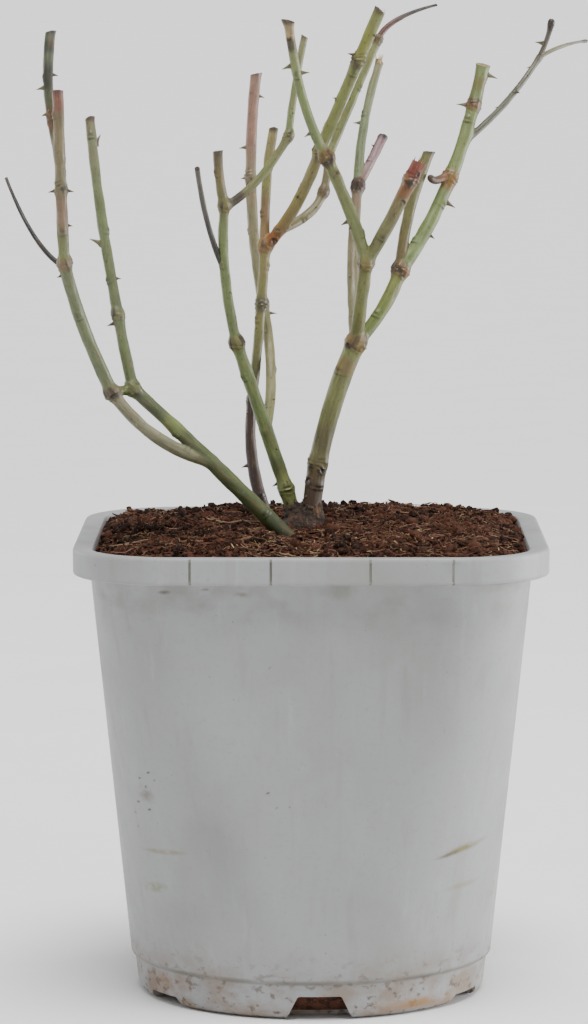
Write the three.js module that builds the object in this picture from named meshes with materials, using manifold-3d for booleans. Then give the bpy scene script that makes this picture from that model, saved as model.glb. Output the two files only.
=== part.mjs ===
// A pruned, leafless rose bush in the square-topped grey nursery pot it was grown in.
// Millimetres, +Z up. The origin is on the pot's axis, on the flat underside it stands on. The front is -Y.

import * as THREE from "three";
import { mergeVertices } from "three/addons/utils/BufferGeometryUtils.js";
import Module from "manifold-3d";

const wasm = await Module();
wasm.setup();

// ---------- driving dimensions ----------

const GAP = 0.3; // clearance between pieces that touch

const POT = {
  height: 188.5,
  rimHalf: 95, // half of the 190 mm square over the rim
  rimCorner: 42, // corner radius of the rim
  rimBand: 11, // height of the rim's band
  rimEdge: 1, // rounding of the band's edges
  bodyHalf: 88, // half width of the wall just under the rim
  bodyCorner: 36,
  footRadius: 74.2, // round wall just above the foot line
  footLine: 15.5, // height of the step where the foot begins
  footStep: 1.6, // how far the foot stands back
  footTaper: 1.2, // how much the foot narrows further down
  footRound: 4.5, // rounding of the bottom edge
  wall: 2,
  floor: 2.5,
  sides: 48,
};

const DRAIN = {
  widths: [28.5, 17.5], // large slot: width at the ground and at its top
  height: 9.7,
  smallWidths: [26, 19],
  smallHeight: 4,
  depth: 14, // how far a slot runs in from the foot
  count: 3, // large slots, with a small one between each two
  firstHeading: 272.8, // degrees from +X: the front slot sits just right of the middle
};

const SOIL = {
  top: 190.5, // level ground round the plant
  belowRim: 2.5, // how far the soil lies under the rim at the wall
  levelShare: 0.72, // share of the way out that is level
  rings: 3,
};

const CANE = {
  sides: 8,
  thinSides: 6,
  thinRadius: 1.5, // canes thinner than this get fewer sides
  stepLength: 14, // mm between sections
  cutSlant: 0.35, // rise of a pruning cut across the cane, as a share of its width
  nodeLength: 3, // mm over which a node swells
  footDepth: 8, // how far a stem is drawn back below the ground before it is cut level
};

const THORN = { radius: 1.3, sides: 4, sink: 0.6 };

// The plant. A limb starts on another limb (on, at: share of its length) or at a foot on the ground.
// It passes through one middle point and ends at its tip, narrowing evenly from r[0] to r[1].
// knob: swelling of the node at the tip. cut: the tip is a flat pruning cut. Thorns are
// [share along, heading in degrees from +X, length, rise towards the tip as a share of the length].
const LIMBS = [
  {
    name: "root_collar", foot: [-3, -21], through: [-3, -22, 194], tip: [-3, -22, 198],
    r: [7.5, 6], knob: 1.05, flare: 1.25,
  },

  {
    name: "stem_right", on: "root_collar", at: 0.85, out: [3, 0, 0], through: [5.5, -24, 231],
    tip: [18, -27, 268], r: [3.7, 3.9], knob: 1.2,
  },
  {
    name: "stem_middle", on: "root_collar", at: 0.85, out: [-3.5, 1, 0], through: [-18, -24, 232],
    tip: [-30, -30, 268], r: [2.9, 2.5], knob: 1.35, thorns: [[0.2, 180, 3]],
  },
  {
    name: "stem_left", foot: [-10, -37], through: [-42, -42, 223], tip: [-71, -48, 251],
    r: [3.4, 2.5], knob: 1.3, flare: 1.1,
  },
  {
    name: "stem_rear", foot: [-17, -2], through: [-24, 2, 217], tip: [-24, 5, 242], r: [2.8, 1.9],
    knob: 1.1, thorns: [[0.5, 180, 3.5]],
  },

  {
    name: "shoot_left_inner_low", on: "stem_left", at: 1, through: [-74.5, -45, 267],
    tip: [-77, -42, 280], r: [2.3, 2.1], knob: 1.3, thorns: [[0.9, 180, 4]],
  },
  {
    name: "shoot_left_inner", on: "shoot_left_inner_low", at: 1, through: [-84, -32, 319],
    tip: [-89, -20, 358], r: [2.2, 1.9], cut: true,
    thorns: [[0.18, 0, 2.5], [0.36, 180, 6.5, 0.7], [0.86, 20, 6, 1.8]],
  },
  {
    name: "bough_left_old", on: "stem_left", at: 0.5, through: [-62, -49, 232],
    tip: [-79, -54, 250], r: [2.6, 2.4], knob: 1.35, thorns: [[0.7, 250, 2]],
  },
  {
    name: "shoot_left_outer_low", on: "bough_left_old", at: 1, through: [-90, -62, 277],
    tip: [-97, -68, 302], r: [2.6, 2.4], knob: 1.2, thorns: [[0.92, 180, 2.5]],
  },
  {
    name: "shoot_left_outer", on: "shoot_left_outer_low", at: 1, through: [-98, -74, 337],
    tip: [-98.5, -80, 370.5], r: [2.3, 2.1], cut: true,
    thorns: [[0.22, 0, 2.5], [0.42, 180, 4], [0.42, 0, 4]],
  },
  {
    name: "shoot_left_tall", on: "shoot_left_outer", at: 0.6, through: [-102.5, -72, 368],
    tip: [-102, -64, 393], r: [1.8, 2], cut: true,
    thorns: [[0.35, 180, 2.5], [0.55, 180, 4], [0.65, 0, 3]],
  },
  {
    name: "bridge_left", on: "stem_left", at: 1, through: [-75, -51, 250.5],
    tip: [-78, -53, 250.5], r: [1.9, 1.9], knob: 1,
  },
  {
    name: "twig_left_dead", on: "shoot_left_outer_low", at: 0.97, through: [-109, -60, 312],
    tip: [-122, -46, 335], r: [1.1, 0.6], cut: true,
  },

  {
    name: "shoot_middle", on: "stem_middle", at: 1, through: [-34.5, -36, 297],
    tip: [-34.5, -42, 324], r: [2.1, 2], knob: 1.25,
  },
  {
    name: "shoot_middle_top", on: "shoot_middle", at: 1, through: [-36.5, -46, 335.5],
    tip: [-37, -50, 346], r: [2, 1.9], cut: true,
  },
  {
    name: "shoot_crossing_low", on: "shoot_middle", at: 0.98, through: [-21, -38, 334],
    tip: [-9, -34, 351], r: [1.8, 1.6], knob: 1.25,
  },
  {
    name: "shoot_crossing", on: "shoot_crossing_low", at: 1, through: [-6.5, -32, 370],
    tip: [-2.5, -30, 391], r: [1.5, 1.4], cut: true,
  },
  {
    name: "twig_middle_dead", on: "shoot_middle", at: 0.52, through: [-41, -44, 316],
    tip: [-45, -56, 339], r: [1.2, 1], cut: true,
  },

  {
    name: "bough_back", on: "stem_middle", at: 0.5, through: [-16.5, 4, 254], tip: [-20, 28, 280],
    r: [2.1, 2.1], knob: 1.2, thorns: [[0.93, 0, 4]],
  },
  {
    name: "shoot_back", on: "bough_back", at: 1, through: [-25, 46, 326], tip: [-23, 60, 375],
    r: [2.1, 2.3], cut: true, thorns: [[0.55, 180, 3], [0.68, 180, 4], [0.9, 0, 3], [0.3, 80, 4]],
  },

  {
    name: "bough_centre", on: "stem_rear", at: 1, through: [-21, 10, 274], tip: [-19, 16, 304],
    r: [1.9, 2.2], knob: 1.3,
  },
  {
    name: "shoot_centre", on: "bough_centre", at: 1, through: [-18.5, 22, 329],
    tip: [-15.5, 28, 352.5], r: [2.1, 1.9], cut: true, thorns: [[0.4, 110, 4]],
  },
  {
    name: "bough_sunward_low", on: "bough_centre", at: 1, through: [-6, 12, 322],
    tip: [3.5, 6, 344], r: [2.5, 2.3], knob: 1.2,
  },
  {
    name: "bough_sunward", on: "bough_sunward_low", at: 1, through: [14, 2, 368.5],
    tip: [28, -4, 401.5], r: [2.3, 2.4], cut: true, thorns: [[0.35, 150, 2.5], [0.66, 180, 4]],
  },
  {
    name: "bough_shaded_low", on: "bough_sunward_low", at: 0.2, through: [-1.5, 24, 317],
    tip: [5, 30, 326], r: [2, 1.8], knob: 1.25, thorns: [[0.5, 150, 3]],
  },
  {
    name: "bough_shaded_knee", on: "bough_shaded_low", at: 1, through: [6.5, 32, 333],
    tip: [7, 33, 340], r: [1.8, 1.8], knob: 1.35,
  },
  {
    name: "bough_shaded", on: "bough_shaded_knee", at: 1, through: [15, 40, 359],
    tip: [28, 48, 389], r: [1.8, 1.6], knob: 1.2, thorns: [[0.6, 60, 3.5]],
  },
  {
    name: "twig_top", on: "bough_shaded", at: 1, through: [36, 52, 397], tip: [52.5, 58, 403],
    r: [1.1, 0.6], cut: true,
  },

  {
    name: "bough_right_front", on: "stem_right", at: 1, through: [20, -35, 285],
    tip: [22, -41, 301], r: [2.7, 2.6], knob: 1.25,
  },
  {
    name: "bough_right", on: "stem_right", at: 1, through: [28, -22, 280], tip: [36, -16, 296],
    r: [2.6, 2.7], knob: 1.4,
  },
  {
    name: "bough_right_rear", on: "stem_right", at: 1, through: [17, -3, 298], tip: [19, 14, 329],
    r: [2.4, 2.2], knob: 1.35,
  },
  {
    name: "shoot_right_rear", on: "bough_right_rear", at: 1, through: [22, 28, 355],
    tip: [28.5, 40, 380], r: [2, 1.7], cut: true, thorns: [[0.5, 180, 4], [0.7, 80, 3.5]],
  },
  {
    name: "spur_right_rear", on: "bough_right_rear", at: 1, through: [24.5, 22, 339],
    tip: [29.5, 30, 349], r: [1.9, 2], cut: true,
  },
  {
    name: "bough_leaning_low", on: "bough_right_front", at: 1, through: [15.5, -46, 321],
    tip: [6, -52, 343], r: [2.5, 2.4], knob: 1.5, thorns: [[0.4, 180, 4]],
  },
  {
    name: "bough_leaning", on: "bough_leaning_low", at: 1, through: [-3.5, -56, 367],
    tip: [-9, -60, 397.5], r: [1.9, 1.8], flareTip: 1.6, cut: true,
    thorns: [[0.2, 180, 3.5], [0.62, 0, 4.5], [0.68, 180, 5]],
  },
  {
    name: "spur_right_front", on: "bough_right_front", at: 1, through: [31, -46, 317],
    tip: [43, -54, 342], r: [2.5, 2.7], cut: true, thorns: [[0.5, 280, 3.5]],
  },
  {
    name: "shoot_right_inner", on: "bough_right", at: 1, through: [39.5, -11, 319],
    tip: [48, -5, 344.5], r: [2.3, 2.2], cut: true,
  },
  {
    name: "bough_right_upper", on: "bough_right", at: 1, through: [56.5, 0, 333],
    tip: [70.5, 18, 379.5], r: [2.9, 2.6], cut: true,
    thorns: [[0.2, 0, 3], [0.36, 0, 5.5], [0.8, 180, 6], [0.95, 0, 6]],
  },
  {
    name: "spur_right", on: "bough_right_upper", at: 0.5, through: [52, -4, 332.5],
    tip: [48.5, -8, 333], r: [1.6, 1.4], cut: true,
  },
  {
    name: "shoot_right_slender", on: "bough_right_upper", at: 0.63, through: [79.5, 18, 363],
    tip: [94, 32, 381.5], r: [1.4, 1.2], knob: 1.2,
    thorns: [[0.45, 130, 3.5], [0.62, 310, 3.5], [0.9, 130, 3.5]],
  },
  {
    name: "twig_right_bud", on: "shoot_right_slender", at: 1, through: [97, 30, 389],
    tip: [98.5, 28, 395.5], r: [1.1, 1], cut: true, thorns: [[0.4, 180, 4.5]],
  },
  {
    name: "twig_right_tip", on: "shoot_right_slender", at: 1, through: [104, 40, 386],
    tip: [115, 50, 388], r: [1, 0.5], cut: true,
  },
];

const COLOURS = {
  pot: 0xaeb1b3,
  soil: 0x3d2a22,
  collar: 0x5f4a36,
  stem: 0x6f7c49,
  deadTwig: 0x4a4440,
};

// ---------- solids ----------

function solidFrom(geometry) {
  const bare = geometry.clone();
  bare.deleteAttribute("normal");
  bare.deleteAttribute("uv");
  const merged = mergeVertices(bare, 1e-4);
  return new wasm.Manifold(
    new wasm.Mesh({
      numProp: 3,
      vertProperties: new Float32Array(merged.attributes.position.array),
      triVerts: new Uint32Array(merged.index.array),
    }),
  );
}

function geometryFrom(solid) {
  const mesh = solid.getMesh();
  const geometry = new THREE.BufferGeometry();
  geometry.setAttribute("position", new THREE.BufferAttribute(mesh.vertProperties, 3));
  geometry.setIndex(new THREE.BufferAttribute(mesh.triVerts, 1));
  geometry.computeVertexNormals();
  return geometry;
}

// A closed skin over a stack of rings that all have the same number of points, capped at both ends.
// Rings run counterclockwise seen from the end that the stack grows towards.
function loft(rings) {
  const count = rings[0].length;
  const points = rings.flat();
  const caps = [rings[0], rings[rings.length - 1]].map((ring) =>
    ring.reduce((sum, point) => sum.add(point), new THREE.Vector3()).divideScalar(count),
  );
  const [first, last] = [points.length, points.length + 1];
  const faces = [];
  for (let k = 0; k + 1 < rings.length; k++) {
    for (let i = 0; i < count; i++) {
      const j = (i + 1) % count;
      const [a, b, c, d] = [k * count + i, k * count + j, (k + 1) * count + j, (k + 1) * count + i];
      faces.push(a, b, c, a, c, d);
    }
  }
  const top = (rings.length - 1) * count;
  for (let i = 0; i < count; i++) {
    const j = (i + 1) % count;
    faces.push(first, j, i, last, top + i, top + j);
  }
  const geometry = new THREE.BufferGeometry().setFromPoints([...points, ...caps]);
  geometry.setIndex(faces);
  return geometry;
}

function largestPiece(solid) {
  return solid.decompose().reduce((best, piece) => (piece.volume() > best.volume() ? piece : best));
}

// ---------- pot and soil ----------

// Distance from the axis to a rounded square at a heading. With corner = half it is a circle.
function roundedSquareRadius(heading, half, corner) {
  const quarter = Math.PI / 2;
  const turn = ((heading % quarter) + quarter) % quarter;
  const angle = Math.min(turn, quarter - turn);
  const centre = half - corner;
  if (half * Math.tan(angle) <= centre) return half / Math.cos(angle);
  const along = centre * (Math.cos(angle) + Math.sin(angle));
  return along + Math.sqrt(along * along - 2 * centre * centre + corner * corner);
}

function potRing(z, half, corner) {
  return Array.from({ length: POT.sides }, (_, i) => {
    const heading = (2 * Math.PI * i) / POT.sides;
    const radius = roundedSquareRadius(heading, half, Math.min(corner, half));
    return new THREE.Vector3(radius * Math.cos(heading), radius * Math.sin(heading), z);
  });
}

const bandBottom = POT.height - POT.rimBand;

// The wall runs from a round foot to a square top; inset gives its inner face.
function wallRing(z, inset = 0) {
  const share = (z - POT.footLine) / (bandBottom - POT.footLine);
  const half = THREE.MathUtils.lerp(POT.footRadius, POT.bodyHalf, share) - inset;
  const corner = THREE.MathUtils.lerp(POT.footRadius, POT.bodyCorner, share) - inset;
  return potRing(z, half, corner);
}

function potOutside() {
  const foot = POT.footRadius - POT.footStep;
  const low = foot - POT.footTaper;
  const rim = (z, inset) => potRing(z, POT.rimHalf - inset, POT.rimCorner - inset);
  return loft([
    potRing(0, low - POT.footRound, low),
    potRing(POT.footRound * 0.3, low - POT.footRound * 0.3, low),
    potRing(POT.footRound, low, low),
    potRing(POT.footLine - 1, foot, foot),
    wallRing(POT.footLine),
    wallRing((POT.footLine + bandBottom) / 2),
    wallRing(bandBottom),
    rim(bandBottom, POT.rimEdge),
    rim(bandBottom + POT.rimEdge, 0),
    rim(POT.height - POT.rimEdge, 0),
    rim(POT.height, POT.rimEdge),
  ]);
}

// The space inside the wall, shrunk by an inset, up to a height.
function cavityRings(inset, top) {
  const wall = POT.wall + inset;
  const rise = 6;
  return [
    potRing(POT.floor + inset, POT.footRadius - POT.footStep - wall - rise, POT.footRadius),
    potRing(POT.floor + inset + rise, POT.footRadius - POT.footStep - wall, POT.footRadius),
    wallRing(POT.footLine + rise, wall),
    wallRing(top, wall),
  ];
}

// A wedge-sided drain slot that runs in from the foot, grown by a margin on every face.
function drainSlot(widths, height, heading, margin) {
  const [wide, narrow] = widths.map((width) => width / 2 + margin);
  const top = height + margin;
  const outline = new THREE.Shape([
    new THREE.Vector2(-wide, -POT.wall),
    new THREE.Vector2(wide, -POT.wall),
    new THREE.Vector2(narrow, top),
    new THREE.Vector2(-narrow, top),
  ]);
  const reach = DRAIN.depth * 2;
  const slot = new THREE.ExtrudeGeometry(outline, { depth: reach, bevelEnabled: false });
  slot.rotateX(Math.PI / 2);
  slot.rotateZ(Math.PI / 2);
  slot.translate(POT.footRadius - DRAIN.depth - margin, 0, 0);
  slot.rotateZ(THREE.MathUtils.degToRad(heading));
  return solidFrom(slot);
}

function drainSlots(margin) {
  const turn = 360 / DRAIN.count;
  const slots = [];
  for (let i = 0; i < DRAIN.count; i++) {
    const heading = DRAIN.firstHeading + i * turn;
    slots.push(drainSlot(DRAIN.widths, DRAIN.height, heading, margin));
    slots.push(drainSlot(DRAIN.smallWidths, DRAIN.smallHeight, heading + turn / 2, margin));
  }
  return slots.reduce((all, slot) => all.add(slot));
}

function potSolid() {
  const cavity = solidFrom(loft(cavityRings(0, POT.height + 1))).subtract(drainSlots(POT.wall));
  return solidFrom(potOutside()).subtract(cavity).subtract(drainSlots(0));
}

function soilSolid() {
  const edge = POT.height - SOIL.belowRim;
  const rings = cavityRings(GAP, edge);
  const rim = rings[rings.length - 1];
  for (let k = 1; k <= SOIL.rings; k++) {
    const share = k / SOIL.rings;
    const shrink = THREE.MathUtils.lerp(1, SOIL.levelShare, share);
    const z = edge + (SOIL.top - edge) * Math.sin((share * Math.PI) / 2);
    rings.push(rim.map((point) => new THREE.Vector3(point.x * shrink, point.y * shrink, z)));
  }
  return solidFrom(loft(rings)).subtract(drainSlots(POT.wall + GAP));
}

// ---------- plant ----------

const byName = new Map();

function limbStart(limb) {
  if (limb.foot) return new THREE.Vector3(...limb.foot, SOIL.top);
  const start = byName.get(limb.on).curve.getPointAt(limb.at);
  return limb.out ? start.add(new THREE.Vector3(...limb.out)) : start;
}

// A single bend: the control point puts the middle of the curve on the limb's middle point.
function limbCurve(limb) {
  const start = limbStart(limb);
  const tip = new THREE.Vector3(...limb.tip);
  const middle = new THREE.Vector3(...limb.through);
  const control = middle.multiplyScalar(2).addScaledVector(start, -0.5).addScaledVector(tip, -0.5);
  return new THREE.QuadraticBezierCurve3(start, control, tip);
}

// The limb's skin, grown by a margin. It swells at its tip node, and ends in a dome or a slanted cut.
function limbSkin(limb, margin) {
  const { curve } = limb;
  const length = curve.getLength();
  const steps = Math.max(3, Math.ceil(length / CANE.stepLength));
  const frames = curve.computeFrenetFrames(steps, false);
  const sides = Math.max(...limb.r) < CANE.thinRadius ? CANE.thinSides : CANE.sides;
  const nodeShare = Math.max(1 - CANE.nodeLength / length, 1 - 0.5 / steps);
  const rings = [];
  const addRing = (share, radius, forward, slant) => {
    const k = Math.min(steps, Math.round(share * steps));
    const centre = curve.getPointAt(Math.min(share, 1)).addScaledVector(frames.tangents[k], forward);
    const ring = [];
    for (let i = 0; i < sides; i++) {
      const angle = (2 * Math.PI * i) / sides;
      const across = frames.normals[k].clone().multiplyScalar(Math.cos(angle));
      across.addScaledVector(frames.binormals[k], Math.sin(angle));
      const rise = slant * radius * (Math.cos(angle) - 1);
      ring.push(centre.clone().addScaledVector(across, radius).addScaledVector(frames.tangents[k], rise));
    }
    rings.push(ring);
  };
  const radiusAt = (share) => THREE.MathUtils.lerp(limb.r[0], limb.r[1], share);
  const flare = limb.flare ?? 1;
  if (limb.foot) addRing(0, limb.r[0] * flare + margin, -CANE.footDepth, 0);
  for (let k = 0; k < steps; k++) {
    addRing(k / steps, radiusAt(k / steps) * (k === 0 ? flare : 1) + margin, 0, 0);
  }
  const tipRadius = radiusAt(1) * (limb.knob ?? limb.flareTip ?? 1);
  addRing(nodeShare, radiusAt(1) + margin, 0, 0);
  if (limb.cut) {
    addRing(1, tipRadius + margin, margin, CANE.cutSlant);
  } else {
    addRing(1, tipRadius + margin, 0, 0);
    addRing(1, 0.75 * (tipRadius + margin), 0.65 * (tipRadius + margin), 0);
    addRing(1, 0.3 * (tipRadius + margin), 0.95 * (tipRadius + margin), 0);
  }
  return solidFrom(loft(rings));
}

// A broad-based thorn, its root sunk in the limb.
function thornSkin(limb, [share, headingDegrees, length, rise = -0.1]) {
  const along = limb.curve.getTangentAt(share);
  const heading = THREE.MathUtils.degToRad(headingDegrees);
  const out = new THREE.Vector3(Math.cos(heading), Math.sin(heading), 0);
  out.addScaledVector(along, -out.dot(along)).normalize();
  out.addScaledVector(along, rise).normalize();
  const radius = THREE.MathUtils.lerp(limb.r[0], limb.r[1], share);
  const cone = new THREE.ConeGeometry(THORN.radius, length + THORN.sink, THORN.sides);
  const turn = new THREE.Quaternion().setFromUnitVectors(new THREE.Vector3(0, 1, 0), out);
  cone.applyQuaternion(turn);
  const centre = limb.curve.getPointAt(share).addScaledVector(out, radius + length / 2 - THORN.sink);
  cone.translate(centre.x, centre.y, centre.z);
  return solidFrom(cone);
}

function belowGround() {
  const depth = 60;
  const block = new THREE.BoxGeometry(2 * POT.rimHalf, 2 * POT.rimHalf, depth);
  block.translate(0, 0, SOIL.top + GAP - depth / 2);
  return solidFrom(block);
}

// Grows every limb in turn. Each one is trimmed to keep clear of the limbs grown before it.
function growPlant() {
  const ground = belowGround();
  const grown = [];
  for (const limb of LIMBS) {
    limb.curve = limbCurve(limb);
    byName.set(limb.name, limb);
    let solid = limbSkin(limb, 0);
    for (const thorn of limb.thorns ?? []) {
      solid = solid.add(thornSkin(limb, thorn));
    }
    solid = solid.subtract(ground);
    for (const neighbour of grown) {
      const meets = solid.intersect(neighbour.keepOut);
      if (meets.volume() > 0) solid = solid.subtract(neighbour.keepOut);
    }
    grown.push({ limb, solid: largestPiece(solid), keepOut: limbSkin(limb, GAP) });
  }
  return grown;
}

// ---------- the part ----------

function material(color, roughness) {
  return new THREE.MeshStandardMaterial({ color, roughness, metalness: 0 });
}

function piece(name, solid, look) {
  const mesh = new THREE.Mesh(geometryFrom(solid), look);
  mesh.name = name;
  return mesh;
}

function limbColour(name) {
  if (name === "root_collar") return COLOURS.collar;
  return name.endsWith("dead") ? COLOURS.deadTwig : COLOURS.stem;
}

const part = new THREE.Group();
part.add(piece("pot", potSolid(), material(COLOURS.pot, 0.65)));
part.add(piece("potting_soil", soilSolid(), material(COLOURS.soil, 1)));

const plant = new THREE.Group();
for (const { limb, solid } of growPlant()) {
  plant.add(piece(limb.name, solid, material(limbColour(limb.name), 0.7)));
}
part.add(plant);

export default part;
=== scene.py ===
"""A pruned, leafless rose bush in its square-topped grey nursery pot.

Metres, +Z up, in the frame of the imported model. Sizes in tables are millimetres.
"""

import itertools
import logging
import math
from dataclasses import dataclass, field
from enum import Enum
from typing import Any, Iterable, Sequence

import bmesh
import bpy
import numpy as np
from mathutils import Matrix, Vector


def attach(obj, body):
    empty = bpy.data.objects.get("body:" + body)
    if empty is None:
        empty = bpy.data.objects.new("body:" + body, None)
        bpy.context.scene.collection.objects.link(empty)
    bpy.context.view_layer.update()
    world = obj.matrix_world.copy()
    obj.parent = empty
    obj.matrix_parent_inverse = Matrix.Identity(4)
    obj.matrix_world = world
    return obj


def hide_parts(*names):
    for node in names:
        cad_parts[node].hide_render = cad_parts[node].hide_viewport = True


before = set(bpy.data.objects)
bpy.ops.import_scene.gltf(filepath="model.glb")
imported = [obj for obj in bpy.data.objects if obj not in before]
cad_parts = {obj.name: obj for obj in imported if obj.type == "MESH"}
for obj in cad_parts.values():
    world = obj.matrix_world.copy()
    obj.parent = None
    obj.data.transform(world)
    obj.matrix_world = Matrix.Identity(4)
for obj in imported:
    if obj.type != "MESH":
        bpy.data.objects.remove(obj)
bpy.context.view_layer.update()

MM = 0.001
LOG = logging.getLogger("rose_bush")

Array = np.ndarray
Piece = bpy.types.Object
Finish = bpy.types.Material
Socket = bpy.types.NodeSocket
Finishes = Sequence[Finish]
Pair = tuple[float, float]
Triple = tuple[float, float, float]
Pattern = tuple[Array, list[list[int]]]  # the points and the faces of a small shape


# ---------- small helpers ----------


def hex_colour(text: str) -> tuple[float, float, float, float]:
    """Turns an sRGB hex colour into the linear RGBA that Blender's nodes hold.

    Args:
        text: Six hex digits after a hash sign.

    Returns:
        Linear red, green and blue, and an alpha of one.
    """
    parts = [int(text[i : i + 2], 16) / 255 for i in (1, 3, 5)]
    linear = [p / 12.92 if p <= 0.04045 else ((p + 0.055) / 1.055) ** 2.4 for p in parts]
    return (*linear, 1.0)


def value_noise(points: Array, grain: float, seed: int) -> Array:
    """Smooth seeded noise on a lattice.

    Args:
        points: Places, one row each, in any unit.
        grain: Size of one lattice cell in that unit.
        seed: Picks the pattern.

    Returns:
        One value from -1 to 1 for each place.
    """
    scaled = np.asarray(points, dtype=np.float64) / grain
    cell = np.floor(scaled).astype(np.int64)
    part = scaled - cell
    ease = part * part * (3 - 2 * part)
    total = np.zeros(len(scaled))
    for corner in itertools.product((0, 1), repeat=3):
        at = cell + np.array(corner)
        mixed = (at[:, 0] * 73856093) ^ (at[:, 1] * 19349663) ^ (at[:, 2] * 83492791)
        mixed = (mixed + seed * 2654435761) & 0xFFFFFFFF
        mixed = ((mixed ^ (mixed >> 15)) * 2246822519) & 0xFFFFFFFF
        mixed = ((mixed ^ (mixed >> 13)) * 3266489917) & 0xFFFFFFFF
        value = ((mixed ^ (mixed >> 16)) & 0xFFFF) / 32767.5 - 1
        weight = np.prod(np.where(corner, ease, 1 - ease), axis=1)
        total += value * weight
    return total


def smooth_step(low: float, high: float, value: Array) -> Array:
    """Eases from 0 at low to 1 at high."""
    share = np.clip((value - low) / (high - low), 0, 1)
    return share * share * (3 - 2 * share)


def bell(value: Array, width: float) -> Array:
    """A bell that is 1 at 0 and falls to about a third at its width."""
    return np.exp(-((value / width) ** 2))


def unit(way: Array) -> Array:
    """A direction, or one in each row, at a length of one."""
    return way / np.linalg.norm(way, axis=-1, keepdims=True)


def wrapped(angle: Array) -> Array:
    """An angle in radians, brought to within half a turn of 0."""
    return np.mod(angle + math.pi, 2 * math.pi) - math.pi


def polar(radius: Array, heading: Array) -> Array:
    """X and Y of distances from the axis and headings in radians, one row each."""
    return np.column_stack([radius * np.cos(heading), radius * np.sin(heading)])


def level_way(degrees: float) -> Array:
    """The level direction at a heading in degrees from +X."""
    return np.array([math.cos(math.radians(degrees)), math.sin(math.radians(degrees)), 0.0])


def deselect_all() -> None:
    """Leaves object mode with nothing selected."""
    if bpy.context.object and bpy.context.object.mode != "OBJECT":
        bpy.ops.object.mode_set(mode="OBJECT")
    bpy.ops.object.select_all(action="DESELECT")


def make_active(piece: Piece) -> None:
    """Makes a piece the only selected one, and the active one.

    Args:
        piece: The piece.
    """
    deselect_all()
    piece.select_set(True)
    bpy.context.view_layer.objects.active = piece


def apply_modifier(piece: Piece, kind: str, **settings: Any) -> None:
    """Adds a modifier with its settings and applies it.

    Args:
        piece: The mesh object it works on.
        kind: Blender's name for the modifier.
        **settings: Its settings by name.
    """
    make_active(piece)
    modifier = piece.modifiers.new(kind.title(), kind)
    for key, value in settings.items():
        setattr(modifier, key, value)
    bpy.ops.object.modifier_apply(modifier=modifier.name)


def link(name: str, data: bpy.types.ID) -> Piece:
    """Makes an object of some data and links it to the scene.

    Args:
        name: The object's name.
        data: Its mesh, curve, light or camera.

    Returns:
        The new object.
    """
    piece = bpy.data.objects.new(name, data)
    bpy.context.scene.collection.objects.link(piece)
    return piece


def edit_all(piece: Piece) -> None:
    """Opens a piece in edit mode with all of it selected.

    Args:
        piece: The mesh object.
    """
    make_active(piece)
    bpy.ops.object.mode_set(mode="EDIT")
    bpy.ops.mesh.select_all(action="SELECT")


def close_outwards() -> None:
    """Turns every face of the mesh in edit mode outwards, and leaves edit mode."""
    bpy.ops.mesh.select_all(action="SELECT")
    bpy.ops.mesh.normals_make_consistent(inside=False)
    bpy.ops.object.mode_set(mode="OBJECT")


def shade_smooth(piece: Piece, angle: float = 180.0) -> None:
    """Smooths a piece's shading where its faces meet at less than an angle in degrees."""
    make_active(piece)
    bpy.ops.object.shade_smooth_by_angle(angle=math.radians(angle))


def mesh_points(piece: Piece) -> Array:
    """Reads the places of a piece's vertices.

    Args:
        piece: The mesh object.

    Returns:
        One row each, in metres.
    """
    flat = np.empty(len(piece.data.vertices) * 3, dtype=np.float32)
    piece.data.vertices.foreach_get("co", flat)
    return flat.reshape(-1, 3).astype(np.float64)


def move_points(piece: Piece, points: Array) -> None:
    """Puts a piece's vertices at new places."""
    piece.data.vertices.foreach_set("co", points.astype(np.float32).ravel())
    piece.data.update()


def settle(piece: Piece, finishes: Finishes, nodes: Sequence[str] = ()) -> None:
    """Dresses and files a finished piece; its faces keep the slot numbers they have.

    Args:
        piece: The finished piece.
        finishes: Its materials, one slot each.
        nodes: CAD nodes that it replaces.
    """
    for finish in finishes:
        piece.data.materials.append(finish)
    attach(piece, "root")
    if nodes:
        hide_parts(*nodes)
    LOG.info("%s: %d faces", piece.name, len(piece.data.polygons))


def add_node(
    tree: bpy.types.NodeTree,
    kind: str,
    settings: dict[Any, Any] | None = None,
    links: dict[Any, Socket] | None = None,
) -> bpy.types.Node:
    """Adds one node to a material.

    Args:
        tree: The material's node tree.
        kind: Blender's name for the node.
        settings: Values by input name, input number or attribute.
        links: Sockets to read, by input name or number.

    Returns:
        The new node.
    """
    node = tree.nodes.new(kind)
    for key, value in (settings or {}).items():
        if isinstance(key, int) or key in node.inputs:
            node.inputs[key].default_value = value
        else:
            setattr(node, key, value)
    for key, source in (links or {}).items():
        tree.links.new(source, node.inputs[key])
    return node


# ---------- finishes ----------


@dataclass(frozen=True)
class Layer:
    """One tone laid over another where a noise is high.

    Attributes:
        tone: sRGB hex colour of the layer.
        grain: Size of its patches in millimetres, along X, Y and Z of the pattern.
        low: Noise value where it begins.
        high: Noise value where it is full.
        strength: Its share where it is full.
        seed: Shifts the pattern.
        detail: How many finer noises lie on it.
        least: Its share below low.
    """

    tone: str
    grain: Triple
    low: float
    high: float
    strength: float
    seed: float = 0.0
    detail: float = 3.0
    least: float = 0.0


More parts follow.
